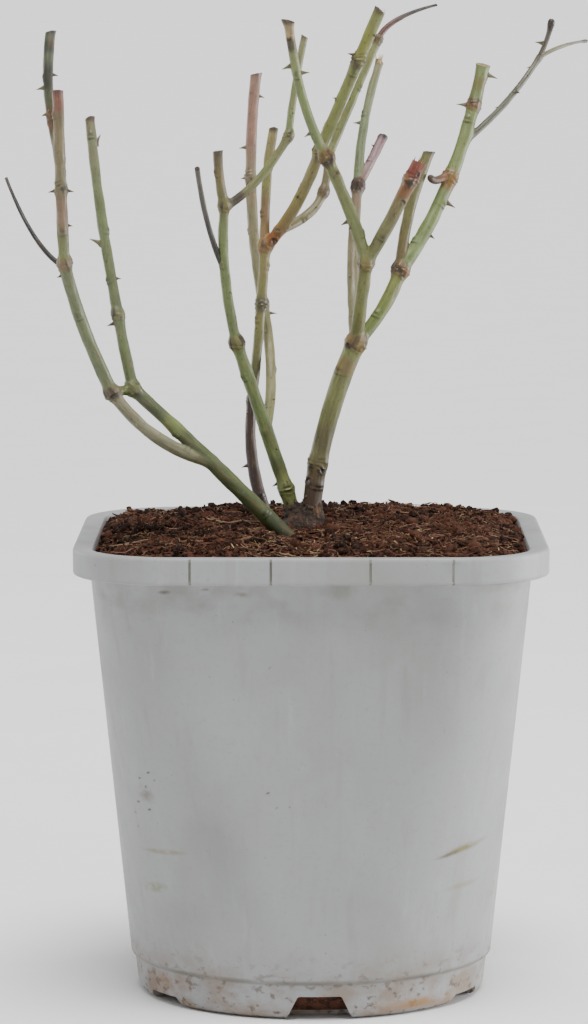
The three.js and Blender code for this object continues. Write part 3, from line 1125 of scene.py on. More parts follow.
@dataclass
class CompostBits:
    """What lies loose on the fill: crumbs, clods, bark chips, fibres and straws. Millimetres."""

    compost: Compost

    def crumb_pattern(self, cuts: int, seed: int) -> Pattern:
        """A rough lump one unit across.

        Args:
            cuts: Subdivisions of the ball it starts as.
            seed: Picks its lumps.

        Returns:
            Its points and faces.
        """
        deselect_all()
        bpy.ops.mesh.primitive_ico_sphere_add(subdivisions=cuts, radius=0.5)
        points, faces = pattern_of(bpy.context.object)
        swell = 1 + 0.5 * value_noise(points + seed, 0.4, seed)
        swell += 0.35 * value_noise(points - seed, 0.17, seed)
        return points * swell[:, None] * np.array([1.15, 0.9, 0.75]), faces

    def crumbs(self, name: str, count: int, sizes: Pair, cuts: int, finishes: Finishes, seed: int) -> None:
        """Crumbs of one range of sizes, pressed into the surface.

        Args:
            name: The piece's name.
            count: How many crumbs.
            sizes: Least and greatest size.
            cuts: Subdivisions of each.
            finishes: The materials they are dealt out over.
            seed: Seeds their places.
        """
        rng = np.random.default_rng(seed)
        pattern = self.crumb_pattern(cuts, seed)
        places = self.compost.scatter(count, rng)
        size = sizes[0] + (sizes[1] - sizes[0]) * rng.uniform(0, 1, count) ** 2.2
        turns = random_turns(count, rng, math.pi)
        placed = []
        for k in range(count):
            points = (pattern[0] * size[k] * rng.uniform(0.6, 1.3, 3)) @ turns[k].T
            at = places[k] + np.array([0, 0, size[k] * rng.uniform(0.0, 0.28)])
            placed.append((points + at) * MM)
        lean = 0.55 + 0.9 * value_noise(places, 13, 5) + rng.uniform(-0.45, 0.45, count)
        # The crumbs also run lighter towards +X.
        lean += 0.002 * places[:, 0]
        tones = np.clip(lean * len(finishes), 0, len(finishes) - 1).astype(int)
        copies(name, pattern, placed, tones, finishes)

    def chips(self, name: str, count: int, finishes: Finishes, seed: int) -> None:
        """Flat splinters of bark.

        Args:
            name: The piece's name.
            count: How many.
            finishes: The materials they are dealt out over.
            seed: Seeds their places.
        """
        rng = np.random.default_rng(seed)
        deselect_all()
        bpy.ops.mesh.primitive_cube_add(size=1)
        bpy.ops.object.mode_set(mode="EDIT")
        bpy.ops.mesh.subdivide(number_cuts=1)
        bpy.ops.object.mode_set(mode="OBJECT")
        points, faces = pattern_of(bpy.context.object)
        taper = 1 - 0.45 * np.abs(points[:, :1]) * 2 * np.array([[0, 1, 1]])
        points = points * taper + 0.12 * np.column_stack([value_noise(points, 0.4, s) for s in (1, 2, 3)])
        places = self.compost.scatter(count, rng, 0.97)
        turns = random_turns(count, rng, 0.5)
        placed = []
        for k in range(count):
            size = np.array([rng.uniform(2.0, 6), rng.uniform(0.8, 2.0), rng.uniform(0.4, 0.8)])
            moved = (points * size) @ turns[k].T + places[k] + np.array([0, 0, 0.7])
            placed.append(moved * MM)
        tones = rng.integers(0, len(finishes), count)
        copies(name, (points, faces), placed, tones, finishes)

    def strands(
        self,
        name: str,
        count: int,
        length: Pair,
        thick: Pair,
        curl: float,
        finishes: Finishes,
        seed: int,
        patch: Triple | None = None,
        rise: float = 0.0,
    ) -> None:
        """Thin bent strands that lie on the surface.

        Args:
            name: The piece's name.
            count: How many.
            length: Least and greatest length.
            thick: Least and greatest thickness.
            curl: How far each bends, as a share of its length.
            finishes: The materials they are dealt out over.
            seed: Seeds their places.
            patch: Middle and size of the spot where they lie; all over if None.
            rise: How far one end stands up, as a share of the length.
        """
        rng = np.random.default_rng(seed)
        steps, sides = 7, 4
        angle = np.arange(sides) * 2 * math.pi / sides
        faces = []
        for a in range(0, (steps - 1) * sides, sides):
            pairs = [(a + i, a + (i + 1) % sides) for i in range(sides)]
            faces += [[i, j, j + sides, i + sides] for i, j in pairs]
        faces.append(list(range(sides))[::-1])
        faces.append([(steps - 1) * sides + i for i in range(sides)])
        places = self.compost.scatter(count, rng, 0.95)
        if patch:
            places[:, :2] = np.array(patch[:2]) + rng.normal(0, patch[2] / 2, (count, 2))
        share = np.linspace(-0.5, 0.5, steps)
        placed = []
        for k in range(count):
            long = rng.uniform(*length)
            heading = rng.uniform(0, 2 * math.pi)
            bend, sway = rng.uniform(-curl, curl, 2)
            side = long * (bend * (share * share * 4 - 0.5) + sway * np.sin(share * 7) * 0.4)
            way = np.array([math.cos(heading), math.sin(heading)])
            flat = np.outer(share * long, way) + np.outer(side, (-way[1], way[0])) + places[k, :2]
            radius = np.hypot(flat[:, 0], flat[:, 1])
            limit = 0.97 * self.compost.reach(np.arctan2(flat[:, 1], flat[:, 0]))
            flat *= np.minimum(1, limit / radius)[:, None]
            ground = self.compost.height_at(flat)
            smooth = np.full(steps, ground.mean()) * 0.55 + ground * 0.45
            lift = rng.uniform(0.1, 1.0) + rng.uniform(0, 0.03) * long * (share + 0.5)
            z = np.maximum(smooth, ground) + lift + rise * rng.uniform(0.3, 1) * long * (share + 0.5)
            centre = np.column_stack([flat, z])
            along = unit(np.gradient(centre, axis=0))
            across = unit(np.cross(along, [0, 0, 1.0]))
            up = np.cross(across, along)
            size = rng.uniform(*thick) / 2 * (1 - 0.55 * (np.abs(share) * 2) ** 3)
            flatten = rng.uniform(0.35, 1.0)
            ring = centre[:, None, :] + size[:, None, None] * (
                np.cos(angle)[None, :, None] * across[:, None, :]
                + flatten * np.sin(angle)[None, :, None] * up[:, None, :]
            )
            placed.append(ring.reshape(-1, 3) * MM)
        tones = rng.integers(0, len(finishes), count)
        copies(name, (placed[0], faces), placed, tones, finishes)

    def build(self, dark: Finishes, pale: Finishes, light: Finishes) -> None:
        """Models every kind of bit and dresses it.

        Args:
            dark: Materials of crumbs, clods and chips.
            pale: Materials of fibres and straws.
            light: Materials of root ends, litter and flecks.
        """
        self.crumbs("compost_crumbs", 9600, (0.5, 1.9), 1, dark, 21)
        self.crumbs("compost_clods", 1300, (1.5, 4.4), 2, dark, 22)
        self.chips("compost_chips", 420, dark, 23)
        self.strands("compost_fibres", 2600, (3, 12), (0.16, 0.4), 0.6, pale, 24)
        self.strands("compost_straws", 60, (7, 20), (0.4, 0.9), 0.15, pale, 25)
        self.strands("compost_roots", 110, (4, 13), (0.2, 0.45), 0.5, light, 28)
        self.strands("compost_rootlets", 12, (4, 9), (0.18, 0.32), 0.8, light, 26, (-22, -67, 7), 0.6)
        self.strands("compost_flecks", 130, (1, 2.4), (0.5, 1.0), 0.3, light, 27, (16, -66, 44), 0.1)
        self.strands("compost_litter", 64, (2, 7), (0.25, 0.6), 0.5, light, 29, (-7, -78, 22), 0.1)


# ---------- the plant ----------


class End(Enum):
    """How a limb ends: grown on into its node, pruned long ago or freshly, or in a dome."""

    GROWN = "grown"
    PRUNED = "pruned"
    FRESH = "fresh"
    DOMED = "domed"


@dataclass
class Limb:
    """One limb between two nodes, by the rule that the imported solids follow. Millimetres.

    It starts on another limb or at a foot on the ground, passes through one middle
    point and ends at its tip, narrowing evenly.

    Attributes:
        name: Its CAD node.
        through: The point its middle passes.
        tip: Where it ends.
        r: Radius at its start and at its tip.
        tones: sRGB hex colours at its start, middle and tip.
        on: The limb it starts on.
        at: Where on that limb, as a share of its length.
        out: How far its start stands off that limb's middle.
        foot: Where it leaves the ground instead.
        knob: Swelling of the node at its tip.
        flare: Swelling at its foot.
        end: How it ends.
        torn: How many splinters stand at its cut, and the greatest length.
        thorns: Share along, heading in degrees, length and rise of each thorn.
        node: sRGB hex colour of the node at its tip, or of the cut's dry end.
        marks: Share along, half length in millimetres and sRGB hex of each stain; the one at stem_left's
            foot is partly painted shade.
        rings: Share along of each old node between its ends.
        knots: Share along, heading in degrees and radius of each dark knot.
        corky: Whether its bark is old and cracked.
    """

    name: str
    through: Triple
    tip: Triple
    r: Pair
    tones: tuple[str, str, str]
    on: str = ""
    at: float = 1.0
    out: Triple = (0, 0, 0)
    foot: Pair | None = None
    knob: float = 1.0
    flare: float = 1.0
    end: End = End.GROWN
    torn: tuple[int, float] = (0, 0.0)
    thorns: tuple[tuple[float, ...], ...] = ()
    node: str = "#7a633f"
    marks: tuple[tuple[float, float, str], ...] = ()
    rings: tuple[float, ...] = ()
    knots: tuple[Triple, ...] = ()
    corky: bool = False

    @property
    def cut(self) -> bool:
        """Whether it ends in a pruning cut."""
        return self.end in (End.PRUNED, End.FRESH)

    def grow(self, grown: dict[str, "Limb"], ground: float) -> None:
        """Works out the limb's centre line.

        Args:
            grown: The limbs before it, by name.
            ground: Height of the ground.
        """
        if self.foot:
            start = np.array([*self.foot, ground])
        else:
            start = grown[self.on].point(self.at) + np.array(self.out)
        tip = np.array(self.tip, dtype=float)
        bend = 2 * np.array(self.through) - 0.5 * start - 0.5 * tip
        t = np.linspace(0, 1, 401)[:, None]
        fine = (1 - t) ** 2 * start + 2 * t * (1 - t) * bend + t * t * tip
        run = np.concatenate([[0], np.cumsum(np.linalg.norm(np.diff(fine, axis=0), axis=1))])
        self.length = float(run[-1])
        before = 10.0 if self.foot else 0.0
        after = 2.5 if self.cut else 1.0 if self.end is End.DOMED else 0.0
        self.stations = np.arange(-before, self.length + after + 0.25, 0.5)
        inside = np.clip(self.stations, 0, self.length)
        self.line = np.column_stack([np.interp(inside, run, fine[:, k]) for k in range(3)])
        self.line += np.minimum(self.stations, 0)[:, None] * unit(fine[1] - fine[0])
        self.line += np.maximum(self.stations - self.length, 0)[:, None] * unit(fine[-1] - fine[-2])
        self.tangents = unit(np.gradient(self.line, axis=0))

    def point(self, share: float) -> Array:
        """The centre line's place at a share of its length."""
        return np.array([np.interp(share * self.length, self.stations, self.line[:, k]) for k in range(3)])

    def tangent(self, share: float) -> Array:
        """The centre line's direction at a share of its length."""
        return self.tangents[int(np.argmin(np.abs(self.stations - share * self.length)))]

    def angle_of(self, share: float, way: Array) -> float:
        """The angle round the limb that faces a direction.

        Args:
            share: Where on it.
            way: The direction.

        Returns:
            The angle in radians, as the bark's grain counts it.
        """
        tangent = self.tangent(share)
        side = unit(np.cross(tangent, GRAIN_SIDE))
        return math.atan2(way @ np.cross(tangent, side), way @ side)

    def radius(self, station: Array) -> Array:
        """The limb's plain radius.

        Args:
            station: Millimetres along it.

        Returns:
            The radius there, with its flared foot, its node and its domed end.
        """
        share = np.clip(station / self.length, 0, 1)
        radius = self.r[0] + (self.r[1] - self.r[0]) * share
        if self.end is End.DOMED:
            past = np.clip((station - self.length + 5.0) / 6.2, 0, 0.99)
            radius = radius * np.sqrt(1 - past * past)
        swell = bell(self.length - station, 2.4) * (self.knob - 1) * self.r[1]
        foot = bell(np.maximum(station, 0), 7.0) * (self.flare - 1) * self.r[0]
        return radius + swell + foot

    def tone(self, station: Array) -> Array:
        """Linear colour along the limb.

        Args:
            station: Millimetres along it.

        Returns:
            One red, green and blue row for each place.
        """
        share = np.clip(station / self.length, 0, 1)
        stops = np.array([hex_colour(tone)[:3] for tone in self.tones])
        colour = np.column_stack([np.interp(share, (0, 0.5, 1), stops[:, k]) for k in range(3)])
        marks = list(self.marks)
        if self.knob > 1.0 or self.cut:
            marks.append((1.0, 2.6 if self.cut else 3.2, self.node))
        for place, half, tone in marks:
            gap = np.abs(station - place * self.length)
            weight = (0.85 * smooth_step(1.25 * half, 0.35 * half, gap))[:, None]
            colour = colour * (1 - weight) + np.array(hex_colour(tone)[:3]) * weight
        grey = colour.mean(axis=1)[:, None]
        return np.clip((grey + (colour - grey) * RICHNESS) * DEPTH, 0.004, 1)


# The wax on living bark whitens it, so the tone below lies deeper and richer than what the eye meets.
DEPTH = 0.65
RICHNESS = 1.12

GREEN = ("#66763e", "#6c7a42", "#727c48")
GREY_GREEN = ("#6c744e", "#707a52", "#767c58")
OLIVE = ("#74743e", "#767a40", "#7c7e46")

LIMBS = (
    Limb("root_collar", (-3, -22, 194), (-3, -22, 198), (7.5, 6), ("#2e1b14", "#38231a", "#402a1f"),
         foot=(-3, -21), flare=1.25, end=End.DOMED, corky=True),
    Limb("stem_right", (5.5, -24, 231), (18, -27, 268), (3.7, 3.9), ("#5a4030", "#6f7040", "#8a9258"),
         on="root_collar", at=0.85, out=(3, 0, 0), knob=1.2, node="#94784e",
         marks=((0.06, 17, "#46301f"), (0.45, 6, "#5f5c36"), (0.86, 4, "#857248")), rings=(0.3,),
         knots=((0.2, 215, 1.7), (0.27, 300, 1.2), (0.97, 235, 1.5))),
    Limb("stem_middle", (-18, -24, 232), (-30, -30, 268), (2.9, 2.5), ("#858a52", "#6c7c42", "#72824a"),
         on="root_collar", at=0.85, out=(-3.5, 1, 0), knob=1.35, thorns=((0.2, 180, 3),), node="#7f7848",
         rings=(0.16,), marks=((0.3, 5, "#5c6638"), (0.0, 7, "#46321f"))),
    # stem_left's dark first tone and the dark mark at its foot are damp bark, and painted shade where it
    # meets the soil.
    Limb("stem_left", (-42, -42, 223), (-71, -48, 251), (3.4, 2.5), ("#455128", "#566038", "#5a6242"),
         foot=(-10, -37), knob=1.3, flare=1.1, node="#6e7242",
         marks=((0.04, 9, "#303a1a"), (0.75, 6, "#7c8a50"))),
    Limb("stem_rear", (-24, 2, 217), (-24, 5, 242), (2.8, 1.9), ("#3f2c26", "#45302a", "#46302a"),
         foot=(-17, -2), knob=1.35, thorns=((0.5, 180, 3.5),), node="#4a3a2c"),
    Limb("shoot_left_inner_low", (-74.5, -45, 267), (-77, -42, 280), (2.3, 2.1),
         ("#5c6540", "#667048", "#6a7250"), on="stem_left", knob=1.3, thorns=((0.9, 180, 4),),
         node="#7c7a56"),
    Limb("shoot_left_inner", (-84, -32, 319), (-89, -20, 358), (2.2, 1.9),
         ("#6a7250", "#707a52", "#7c8062"), on="shoot_left_inner_low", end=End.PRUNED, node="#4a3830",
         thorns=((0.18, 0, 2.5), (0.36, 180, 6.5, 0.7), (0.86, 20, 6, 1.8)),
         marks=((0.8, 4, "#78765a"), (0.95, 5, "#7e7a5c"))),
    Limb("bough_left_old", (-62, -49, 232), (-79, -54, 250), (2.6, 2.4), ("#7a7a58", "#8c8a6e", "#8a866a"),
         on="stem_left", at=0.5, knob=1.35, thorns=((0.7, 250, 2),), node="#66563a",
         knots=((0.98, 262, 1.3),)),
    Limb("shoot_left_outer_low", (-90, -62, 277), (-97, -68, 302), (2.6, 2.4), GREY_GREEN,
         on="bough_left_old", knob=1.2, thorns=((0.92, 180, 2.5),), node="#80684c"),
    Limb("shoot_left_outer", (-98, -74, 337), (-98.5, -80, 370.5), (2.3, 2.1),
         ("#727c4c", "#847c5a", "#867656"), on="shoot_left_outer_low", end=End.PRUNED, node="#6e3c36",
         thorns=((0.22, 0, 2.5), (0.42, 180, 4), (0.42, 0, 4)), rings=(0.43,),
         marks=((0.3, 9, "#8c705c"), (0.93, 5, "#8a5648"))),
    Limb("shoot_left_tall", (-102.5, -72, 368), (-102, -64, 393), (1.8, 2),
         ("#6a5038", "#5c6148", "#565e4c"), on="shoot_left_outer", at=0.6, end=End.PRUNED, node="#3a362e",
         thorns=((0.35, 180, 2.5), (0.55, 180, 4), (0.65, 0, 3)), knots=((0.3, 200, 1.3),),
         marks=((0.3, 5, "#7a5a44"), (0.62, 6, "#2c2a22"), (0.86, 3, "#38382c"))),
    Limb("bridge_left", (-75, -51, 250.5), (-78, -53, 250.5), (1.9, 1.9), ("#5e6832", "#5c6430", "#58602e"),
         on="stem_left"),
    Limb("twig_left_dead", (-109, -60, 312), (-121.2, -46, 335), (1.1, 0.6),
         ("#2a2521", "#1e1b19", "#2e2a27"), on="shoot_left_outer_low", at=0.97, end=End.PRUNED,
         node="#4a443c"),
    Limb("shoot_middle", (-34.5, -36, 297), (-34.5, -42, 324), (2.1, 2), ("#74804e", "#78864e", "#7a8452"),
         on="stem_middle", knob=1.25, node="#8f8352", knots=((0.99, 330, 1.2),)),
    Limb("shoot_middle_top", (-36.5, -46, 335.5), (-37, -50, 346), (2, 1.9),
         ("#7c7f4c", "#85784c", "#6f6146"), on="shoot_middle", end=End.PRUNED, node="#5a5140"),
    Limb("shoot_crossing_low", (-21, -38, 334), (-9, -34, 351), (1.8, 1.6),
         ("#6c6448", "#7c8052", "#80865a"), on="shoot_middle", at=0.98, knob=1.25, node="#8e8a5c",
         marks=((0.16, 4, "#2a1e16"),)),
    Limb("shoot_crossing", (-6.5, -32, 370), (-2.5, -30, 391), (1.5, 1.4),
         ("#808a5c", "#868c60", "#8c8864"), on="shoot_crossing_low", end=End.PRUNED, node="#6a6048"),
    Limb("twig_middle_dead", (-41, -44, 316), (-45, -56, 339), (1.2, 1), ("#1f1b18", "#4a4640", "#76726a"),
         on="shoot_middle", at=0.52, end=End.PRUNED, node="#6a665e"),
    Limb("bough_back", (-16.5, 4, 254), (-20, 28, 280), (2.1, 2.1), ("#74784a", "#84805a", "#827f52"),
         on="stem_middle", at=0.5, knob=1.2, thorns=((0.93, 0, 4),), node="#8a7e56"),
    Limb("shoot_back", (-25, 46, 326), (-23, 60, 375), (2.1, 2.3), ("#82825c", "#8a7e62", "#947666"),
         on="bough_back", end=End.PRUNED,
         thorns=((0.55, 180, 3), (0.68, 180, 4), (0.9, 0, 3), (0.3, 80, 4)), node="#5c4a44", rings=(0.55,),
         marks=((0.5, 3, "#6c4c36"), (0.78, 18, "#987466"))),
    Limb("bough_centre", (-21, 10, 274), (-19, 16, 304), (1.9, 2.2), ("#454a2c", "#7c7a4a", "#857c50"),
         on="stem_rear", knob=1.3, node="#8c6a3a", marks=((0.62, 4, "#4e4a30"),), rings=(0.62,)),
    Limb("shoot_centre", (-18.5, 22, 329), (-15.5, 28, 352.5), (2.1, 1.9),
         ("#8a6a4a", "#82804e", "#9a8c60"), on="bough_centre", end=End.PRUNED, thorns=((0.4, 110, 4),),
         node="#3a3228", marks=((0.3, 8, "#7e6446"),)),
    Limb("bough_sunward_low", (-6, 12, 322), (3.5, 6, 344), (2.5, 2.3), ("#8a6438", "#857c48", "#908858"),
         on="bough_centre", knob=1.2, node="#857a42", marks=((0.12, 5, "#8a5226"),),
         knots=((0.1, 300, 1.6), (0.2, 250, 1.0), (0.55, 250, 0.9))),
    Limb("bough_sunward", (14, 2, 368.5), (28, -4, 401.5), (2.3, 2.4), ("#80864a", "#82884c", "#888e56"),
         on="bough_sunward_low", end=End.PRUNED, torn=(5, 3.0), thorns=((0.35, 150, 2.5), (0.66, 180, 4)),
         node="#5a4c34", marks=((0.62, 3, "#5a4a30"), (0.75, 9, "#8a8a44")), rings=(0.64,),
         knots=((0.35, 200, 1.1), (0.66, 190, 1.3))),
    Limb("bough_shaded_low", (-1.5, 24, 317), (5, 30, 326), (2, 1.8), ("#80744a", "#7e7650", "#7e785a"),
         on="bough_sunward_low", at=0.2, knob=1.25, thorns=((0.5, 150, 3),), node="#5a4a34"),
    Limb("bough_shaded_knee", (6.5, 32, 333), (7, 33, 340), (1.8, 1.8), ("#6e6448", "#7c7454", "#706048"),
         on="bough_shaded_low", knob=1.35, node="#64523a"),
    Limb("bough_shaded", (15, 40, 359), (28, 48, 389), (1.8, 1.6), ("#7c7e50", "#7e8450", "#8a8c5e"),
         on="bough_shaded_knee", knob=1.2, thorns=((0.6, 60, 3.5),), node="#6c5a44"),
    Limb("twig_top", (36, 52, 397), (52.5, 58, 403), (1.35, 0.5), ("#6a4238", "#4c4240", "#44423f"),
         on="bough_shaded", end=End.PRUNED, node="#3a3634", marks=((0.2, 6, "#64392f"),)),
    Limb("bough_right_front", (20, -35, 285), (22, -41, 301), (2.7, 2.6), OLIVE, on="stem_right", knob=1.25,
         node="#8a7c4e"),
    Limb("bough_right", (28, -22, 280), (36, -16, 296), (2.6, 2.7), ("#6a763a", "#727e40", "#7a7c44"),
         on="stem_right", knob=1.4, node="#94683a",
         knots=((0.97, 265, 1.5), (0.93, 310, 1.0), (1.0, 225, 1.1))),
    Limb("bough_right_rear", (17, -3, 298), (19, 14, 329), (2.4, 2.2), ("#7a7454", "#80785a", "#82705a"),
         on="stem_right", knob=1.35, node="#50302a", knots=((0.98, 250, 1.6),)),
    Limb("shoot_right_rear", (22, 28, 355), (28.5, 40, 380), (2, 1.7), ("#76805a", "#76825c", "#888664"),
         on="bough_right_rear", end=End.PRUNED, torn=(6, 7.0), thorns=((0.5, 180, 4), (0.7, 80, 3.5)),
         node="#6a5c40"),
    Limb("spur_right_rear", (24.5, 22, 339), (29.5, 30, 349), (1.9, 2), ("#866a5c", "#987a7c", "#8c6a6e"),
         on="bough_right_rear", end=End.PRUNED, node="#241c1a"),
    Limb("bough_leaning_low", (15.5, -46, 321), (6, -52, 343), (2.5, 2.4),
         ("#7c8250", "#7c8450", "#787a46"), on="bough_right_front", knob=1.35, thorns=((0.4, 180, 4),),
         node="#86662e", knots=((0.97, 268, 2.1), (0.85, 300, 1.0))),
    Limb("bough_leaning", (-3.5, -56, 367), (-9, -60, 397.5), (1.9, 1.8), ("#808a58", "#7c8a54", "#8a8860"),
         on="bough_leaning_low", end=End.PRUNED, knob=1.5, node="#4a3828",
         thorns=((0.2, 180, 3.5), (0.62, 0, 4.5), (0.68, 180, 5)),
         marks=((0.9, 4.5, "#b8a078"), (0.82, 3, "#3f3620")), knots=((0.86, 250, 1.1),)),
    Limb("spur_right_front", (31, -46, 317), (43, -54, 342), (2.5, 2.8), ("#747a4a", "#7a744a", "#8a6848"),
         on="bough_right_front", end=End.PRUNED, torn=(9, 3.6), thorns=((0.5, 280, 3.5),), node="#8a4634",
         marks=((0.74, 5, "#86562e"), (0.92, 4.5, "#84362a")), rings=(0.82,),
         knots=((0.62, 300, 1.2), (0.8, 255, 1.4), (0.9, 300, 1.0))),
    Limb("shoot_right_inner", (39.5, -11, 319), (48, -5, 344.5), (2.3, 2.2),
         ("#6a5a3c", "#6c6a40", "#77744a"), on="bough_right", end=End.PRUNED, node="#3c3c34"),
    Limb("bough_right_upper", (56.5, 0, 333), (70.5, 18, 379.5), (2.9, 2.6),
         ("#7a8c56", "#7e8a54", "#727e4c"), on="bough_right", end=End.FRESH, knob=1.12, node="#57603a",
         thorns=((0.2, 0, 3), (0.36, 0, 5.5), (0.8, 180, 6), (0.95, 0, 6)),
         marks=((0.45, 5, "#8a6030"), (0.9, 4, "#747042"), (0.8, 3, "#7a5838")), rings=(0.47, 0.8),
         knots=((0.47, 225, 1.4),)),
    Limb("spur_right", (52, -4, 332.5), (48.5, -8, 333), (1.9, 1.5), ("#96642e", "#7c5434", "#4c3a2e"),
         on="bough_right_upper", at=0.5, torn=(4, 2.4), node="#4a463e"),
    Limb("shoot_right_slender", (79.5, 18, 363), (94, 32, 381.5), (1.4, 1.2),
         ("#4a4836", "#5e604a", "#686454"), on="bough_right_upper", at=0.63, knob=1.2, node="#645c4e",
         marks=((0.05, 3, "#33281f"),), thorns=((0.45, 130, 3.5), (0.62, 310, 3.5), (0.9, 130, 3.5))),
    Limb("twig_right_bud", (97, 30, 389), (98.5, 28, 395.5), (1.1, 1), ("#746c5c", "#6e665c", "#5c5450"),
         on="shoot_right_slender", knob=1.4, thorns=((0.4, 180, 4.5),), node="#2c2624"),
    Limb("twig_right_tip", (104, 40, 386), (114.2, 50, 388), (1, 0.5), ("#807a5c", "#8c8c74", "#77776c"),
         on="shoot_right_slender", knob=1.35, node="#55504a"),
)

# The direction that angles round a limb are counted from; no limb runs along it.
GRAIN_SIDE = np.array([0.31, 0.88, 0.36])
HOLLOW = "#241911"  # sRGB hex of the dirt in the bark's hollows
# Painted light and shade: bark that faces this way is painted paler, and bark that faces away is painted
# darker.
PAINTED_LIGHT_WAY = np.array([-0.42, -0.12, 0.90])

GROUPS = {
    "canes_left": ("stem_left", "shoot_left_inner_low", "shoot_left_inner", "bough_left_old",
                   "shoot_left_outer_low", "shoot_left_outer", "shoot_left_tall", "bridge_left"),
    "canes_middle": ("stem_middle", "shoot_middle", "shoot_middle_top", "shoot_crossing_low",
                     "shoot_crossing", "bough_back", "shoot_back"),
    "canes_rear": ("stem_rear", "bough_centre", "shoot_centre", "bough_sunward_low", "bough_sunward",
                   "bough_shaded_low", "bough_shaded_knee", "bough_shaded"),
    "canes_right": ("stem_right", "bough_right_front", "bough_right", "bough_leaning_low",
                    "bough_leaning", "spur_right_front", "shoot_right_inner", "bough_right_upper",
                    "spur_right", "shoot_right_slender"),
    "canes_right_rear": ("bough_right_rear", "shoot_right_rear", "spur_right_rear"),
}


class BarkRelief:
    """The bark's relief on one limb, at the places of a skin's vertices. Millimetres.

    Attributes:
        out: How far the bark stands out at each place.
        dark: How dark its hollows are there.
    """

    FULL_RADIUS = 2.0  # a limb thinner than this has a lower relief
    SCAR_TURN = 2.4  # radians from one leaf scar to the next
    # Each fold round an old node: its place, its depth and its width.
    FOLDS = ((-2.9, 0.10, 0.5), (-1.4, 0.20, 0.4), (0.2, 0.34, 0.5), (1.9, 0.12, 0.5))

    def __init__(self, limb: Limb, station: Array, angle: Array, index: int) -> None:
        """Works out the whole relief.

        Args:
            limb: The limb.
            station: Millimetres along it.
            angle: Radians round it.
            index: Picks its pattern.
        """
        self.limb, self.station, self.angle, self.index = limb, station, angle, index
        self.mean = sum(limb.r) / 2
        self.slim = min(1.0, self.mean / self.FULL_RADIUS) ** 1.5
        self.round = polar(self.mean, angle)
        self.even = np.column_stack([self.round, station / 2.2])
        self.lumps = np.column_stack([self.round, station])
        self.ribs()
        for number, node in enumerate(self.old_nodes()):
            self.ring(number, station - node)
        self.leaf_scars()
        for share, heading, size in limb.knots:
            self.knot(share, heading, size)
        if limb.cut:
            self.out += self.slim * 0.16 * bell(limb.length - station, 1.1)
        self.dark = np.clip(self.dark, 0, 0.95)

    def ribs(self) -> None:
        """Lays fine ribs along the limb, or the lumps and cracks of old bark."""
        index, lumps = self.index, self.lumps
        ribs = value_noise(np.column_stack([self.round, self.station / 7]), 0.9, index)
        self.out = self.slim * (0.11 * ribs + 0.17 * value_noise(self.even, 2.4, index + 50))
        self.dark = 0.16 * smooth_step(0.1, -0.6, ribs)
        if self.limb.end is End.DOMED:
            self.out = 1.4 * value_noise(lumps, 4.4, 77)
        if self.limb.corky:
            self.out += 0.75 * np.abs(value_noise(lumps, 2.2, 78)) + 0.5 * value_noise(lumps, 1.1, 79)
            self.dark = 0.8 * smooth_step(0.35, -0.4, value_noise(lumps, 1.5, 78))

    def old_nodes(self) -> list[float]:
        """Millimetres along the limb of its old nodes, and first of the one at its tip."""
        tip = [self.limb.length] if self.limb.knob > 1.0 and not self.limb.cut else []
        return tip + [share * self.limb.length for share in self.limb.rings]

    def ring(self, number: int, gap: Array) -> None:
        """Raises the rough swelling and the folds of one old node.

        Args:
            number: Which of the limb's nodes it is.
            gap: Millimetres past it.
        """
        index, angle, slim = self.index, self.angle, self.slim
        rough = value_noise(self.even * 1.4 + 9 * number, 1.5, index + 90)
        swell = bell(gap, 2.8)
        self.out += slim * swell * (0.22 + 0.36 * rough)
        if number or self.limb.cut:
            self.out += slim * 0.28 * swell
        for place, depth, width in self.FOLDS:
            wavy = place + 0.8 * np.sin(angle + index + number) + 0.35 * np.sin(3 * angle + 7 * place)
            circle = np.column_stack([self.round, np.full(len(self.round), 5 * place)])
            whole = smooth_step(-0.35, 0.3, value_noise(circle, 1.6, index + number))
            furrow = bell(gap - wavy - 0.75, 0.34) * whole
            self.out += slim * depth * (bell(gap - wavy, width) * (0.3 + 0.7 * whole) - 0.8 * furrow)
            self.dark += 0.50 * furrow
        self.dark += 0.70 * swell * smooth_step(0.0, 0.6, rough)

    def leaf_scars(self) -> None:
        """Draws the curved scars that leaves left, each with its bud, in a spiral up the limb."""
        spacing = 17.0 + (self.index * 7) % 9
        place, turn = 9.0 + (self.index * 3) % 5, self.index * self.SCAR_TURN
        while place < self.limb.length - 7:
            gap = wrapped(self.angle - turn)
            near = bell(gap, 0.95)
            scar = self.station - place - 0.35 * gap * gap
            bud = bell(gap, 0.55) * bell(self.station - place - 1.7, 1.1)
            self.out += self.slim * (0.28 * near * bell(scar, 0.45) + 0.5 * bud)
            self.dark += 0.7 * near * bell(scar + 0.55, 0.35) + 0.5 * bud
            place, turn = place + spacing, turn + self.SCAR_TURN

    def knot(self, share: float, heading: float, size: float) -> None:
        """Sinks one dark knot with a raised rim.

        Args:
            share: Where on the limb.
            heading: The way it faces, in degrees from +X.
            size: Its radius.
        """
        around = wrapped(self.angle - self.limb.angle_of(share, level_way(heading)))
        span = np.hypot(around * self.mean, self.station - share * self.limb.length) / size
        span = span + 0.45 * value_noise(self.lumps, 0.8, self.index + 120)
        self.out += self.slim * (0.32 * bell(span - 1.0, 0.4) - 0.4 * np.exp(-(span**2) * 2.2))
        self.dark += 0.9 * np.exp(-(span**2) * 1.3)


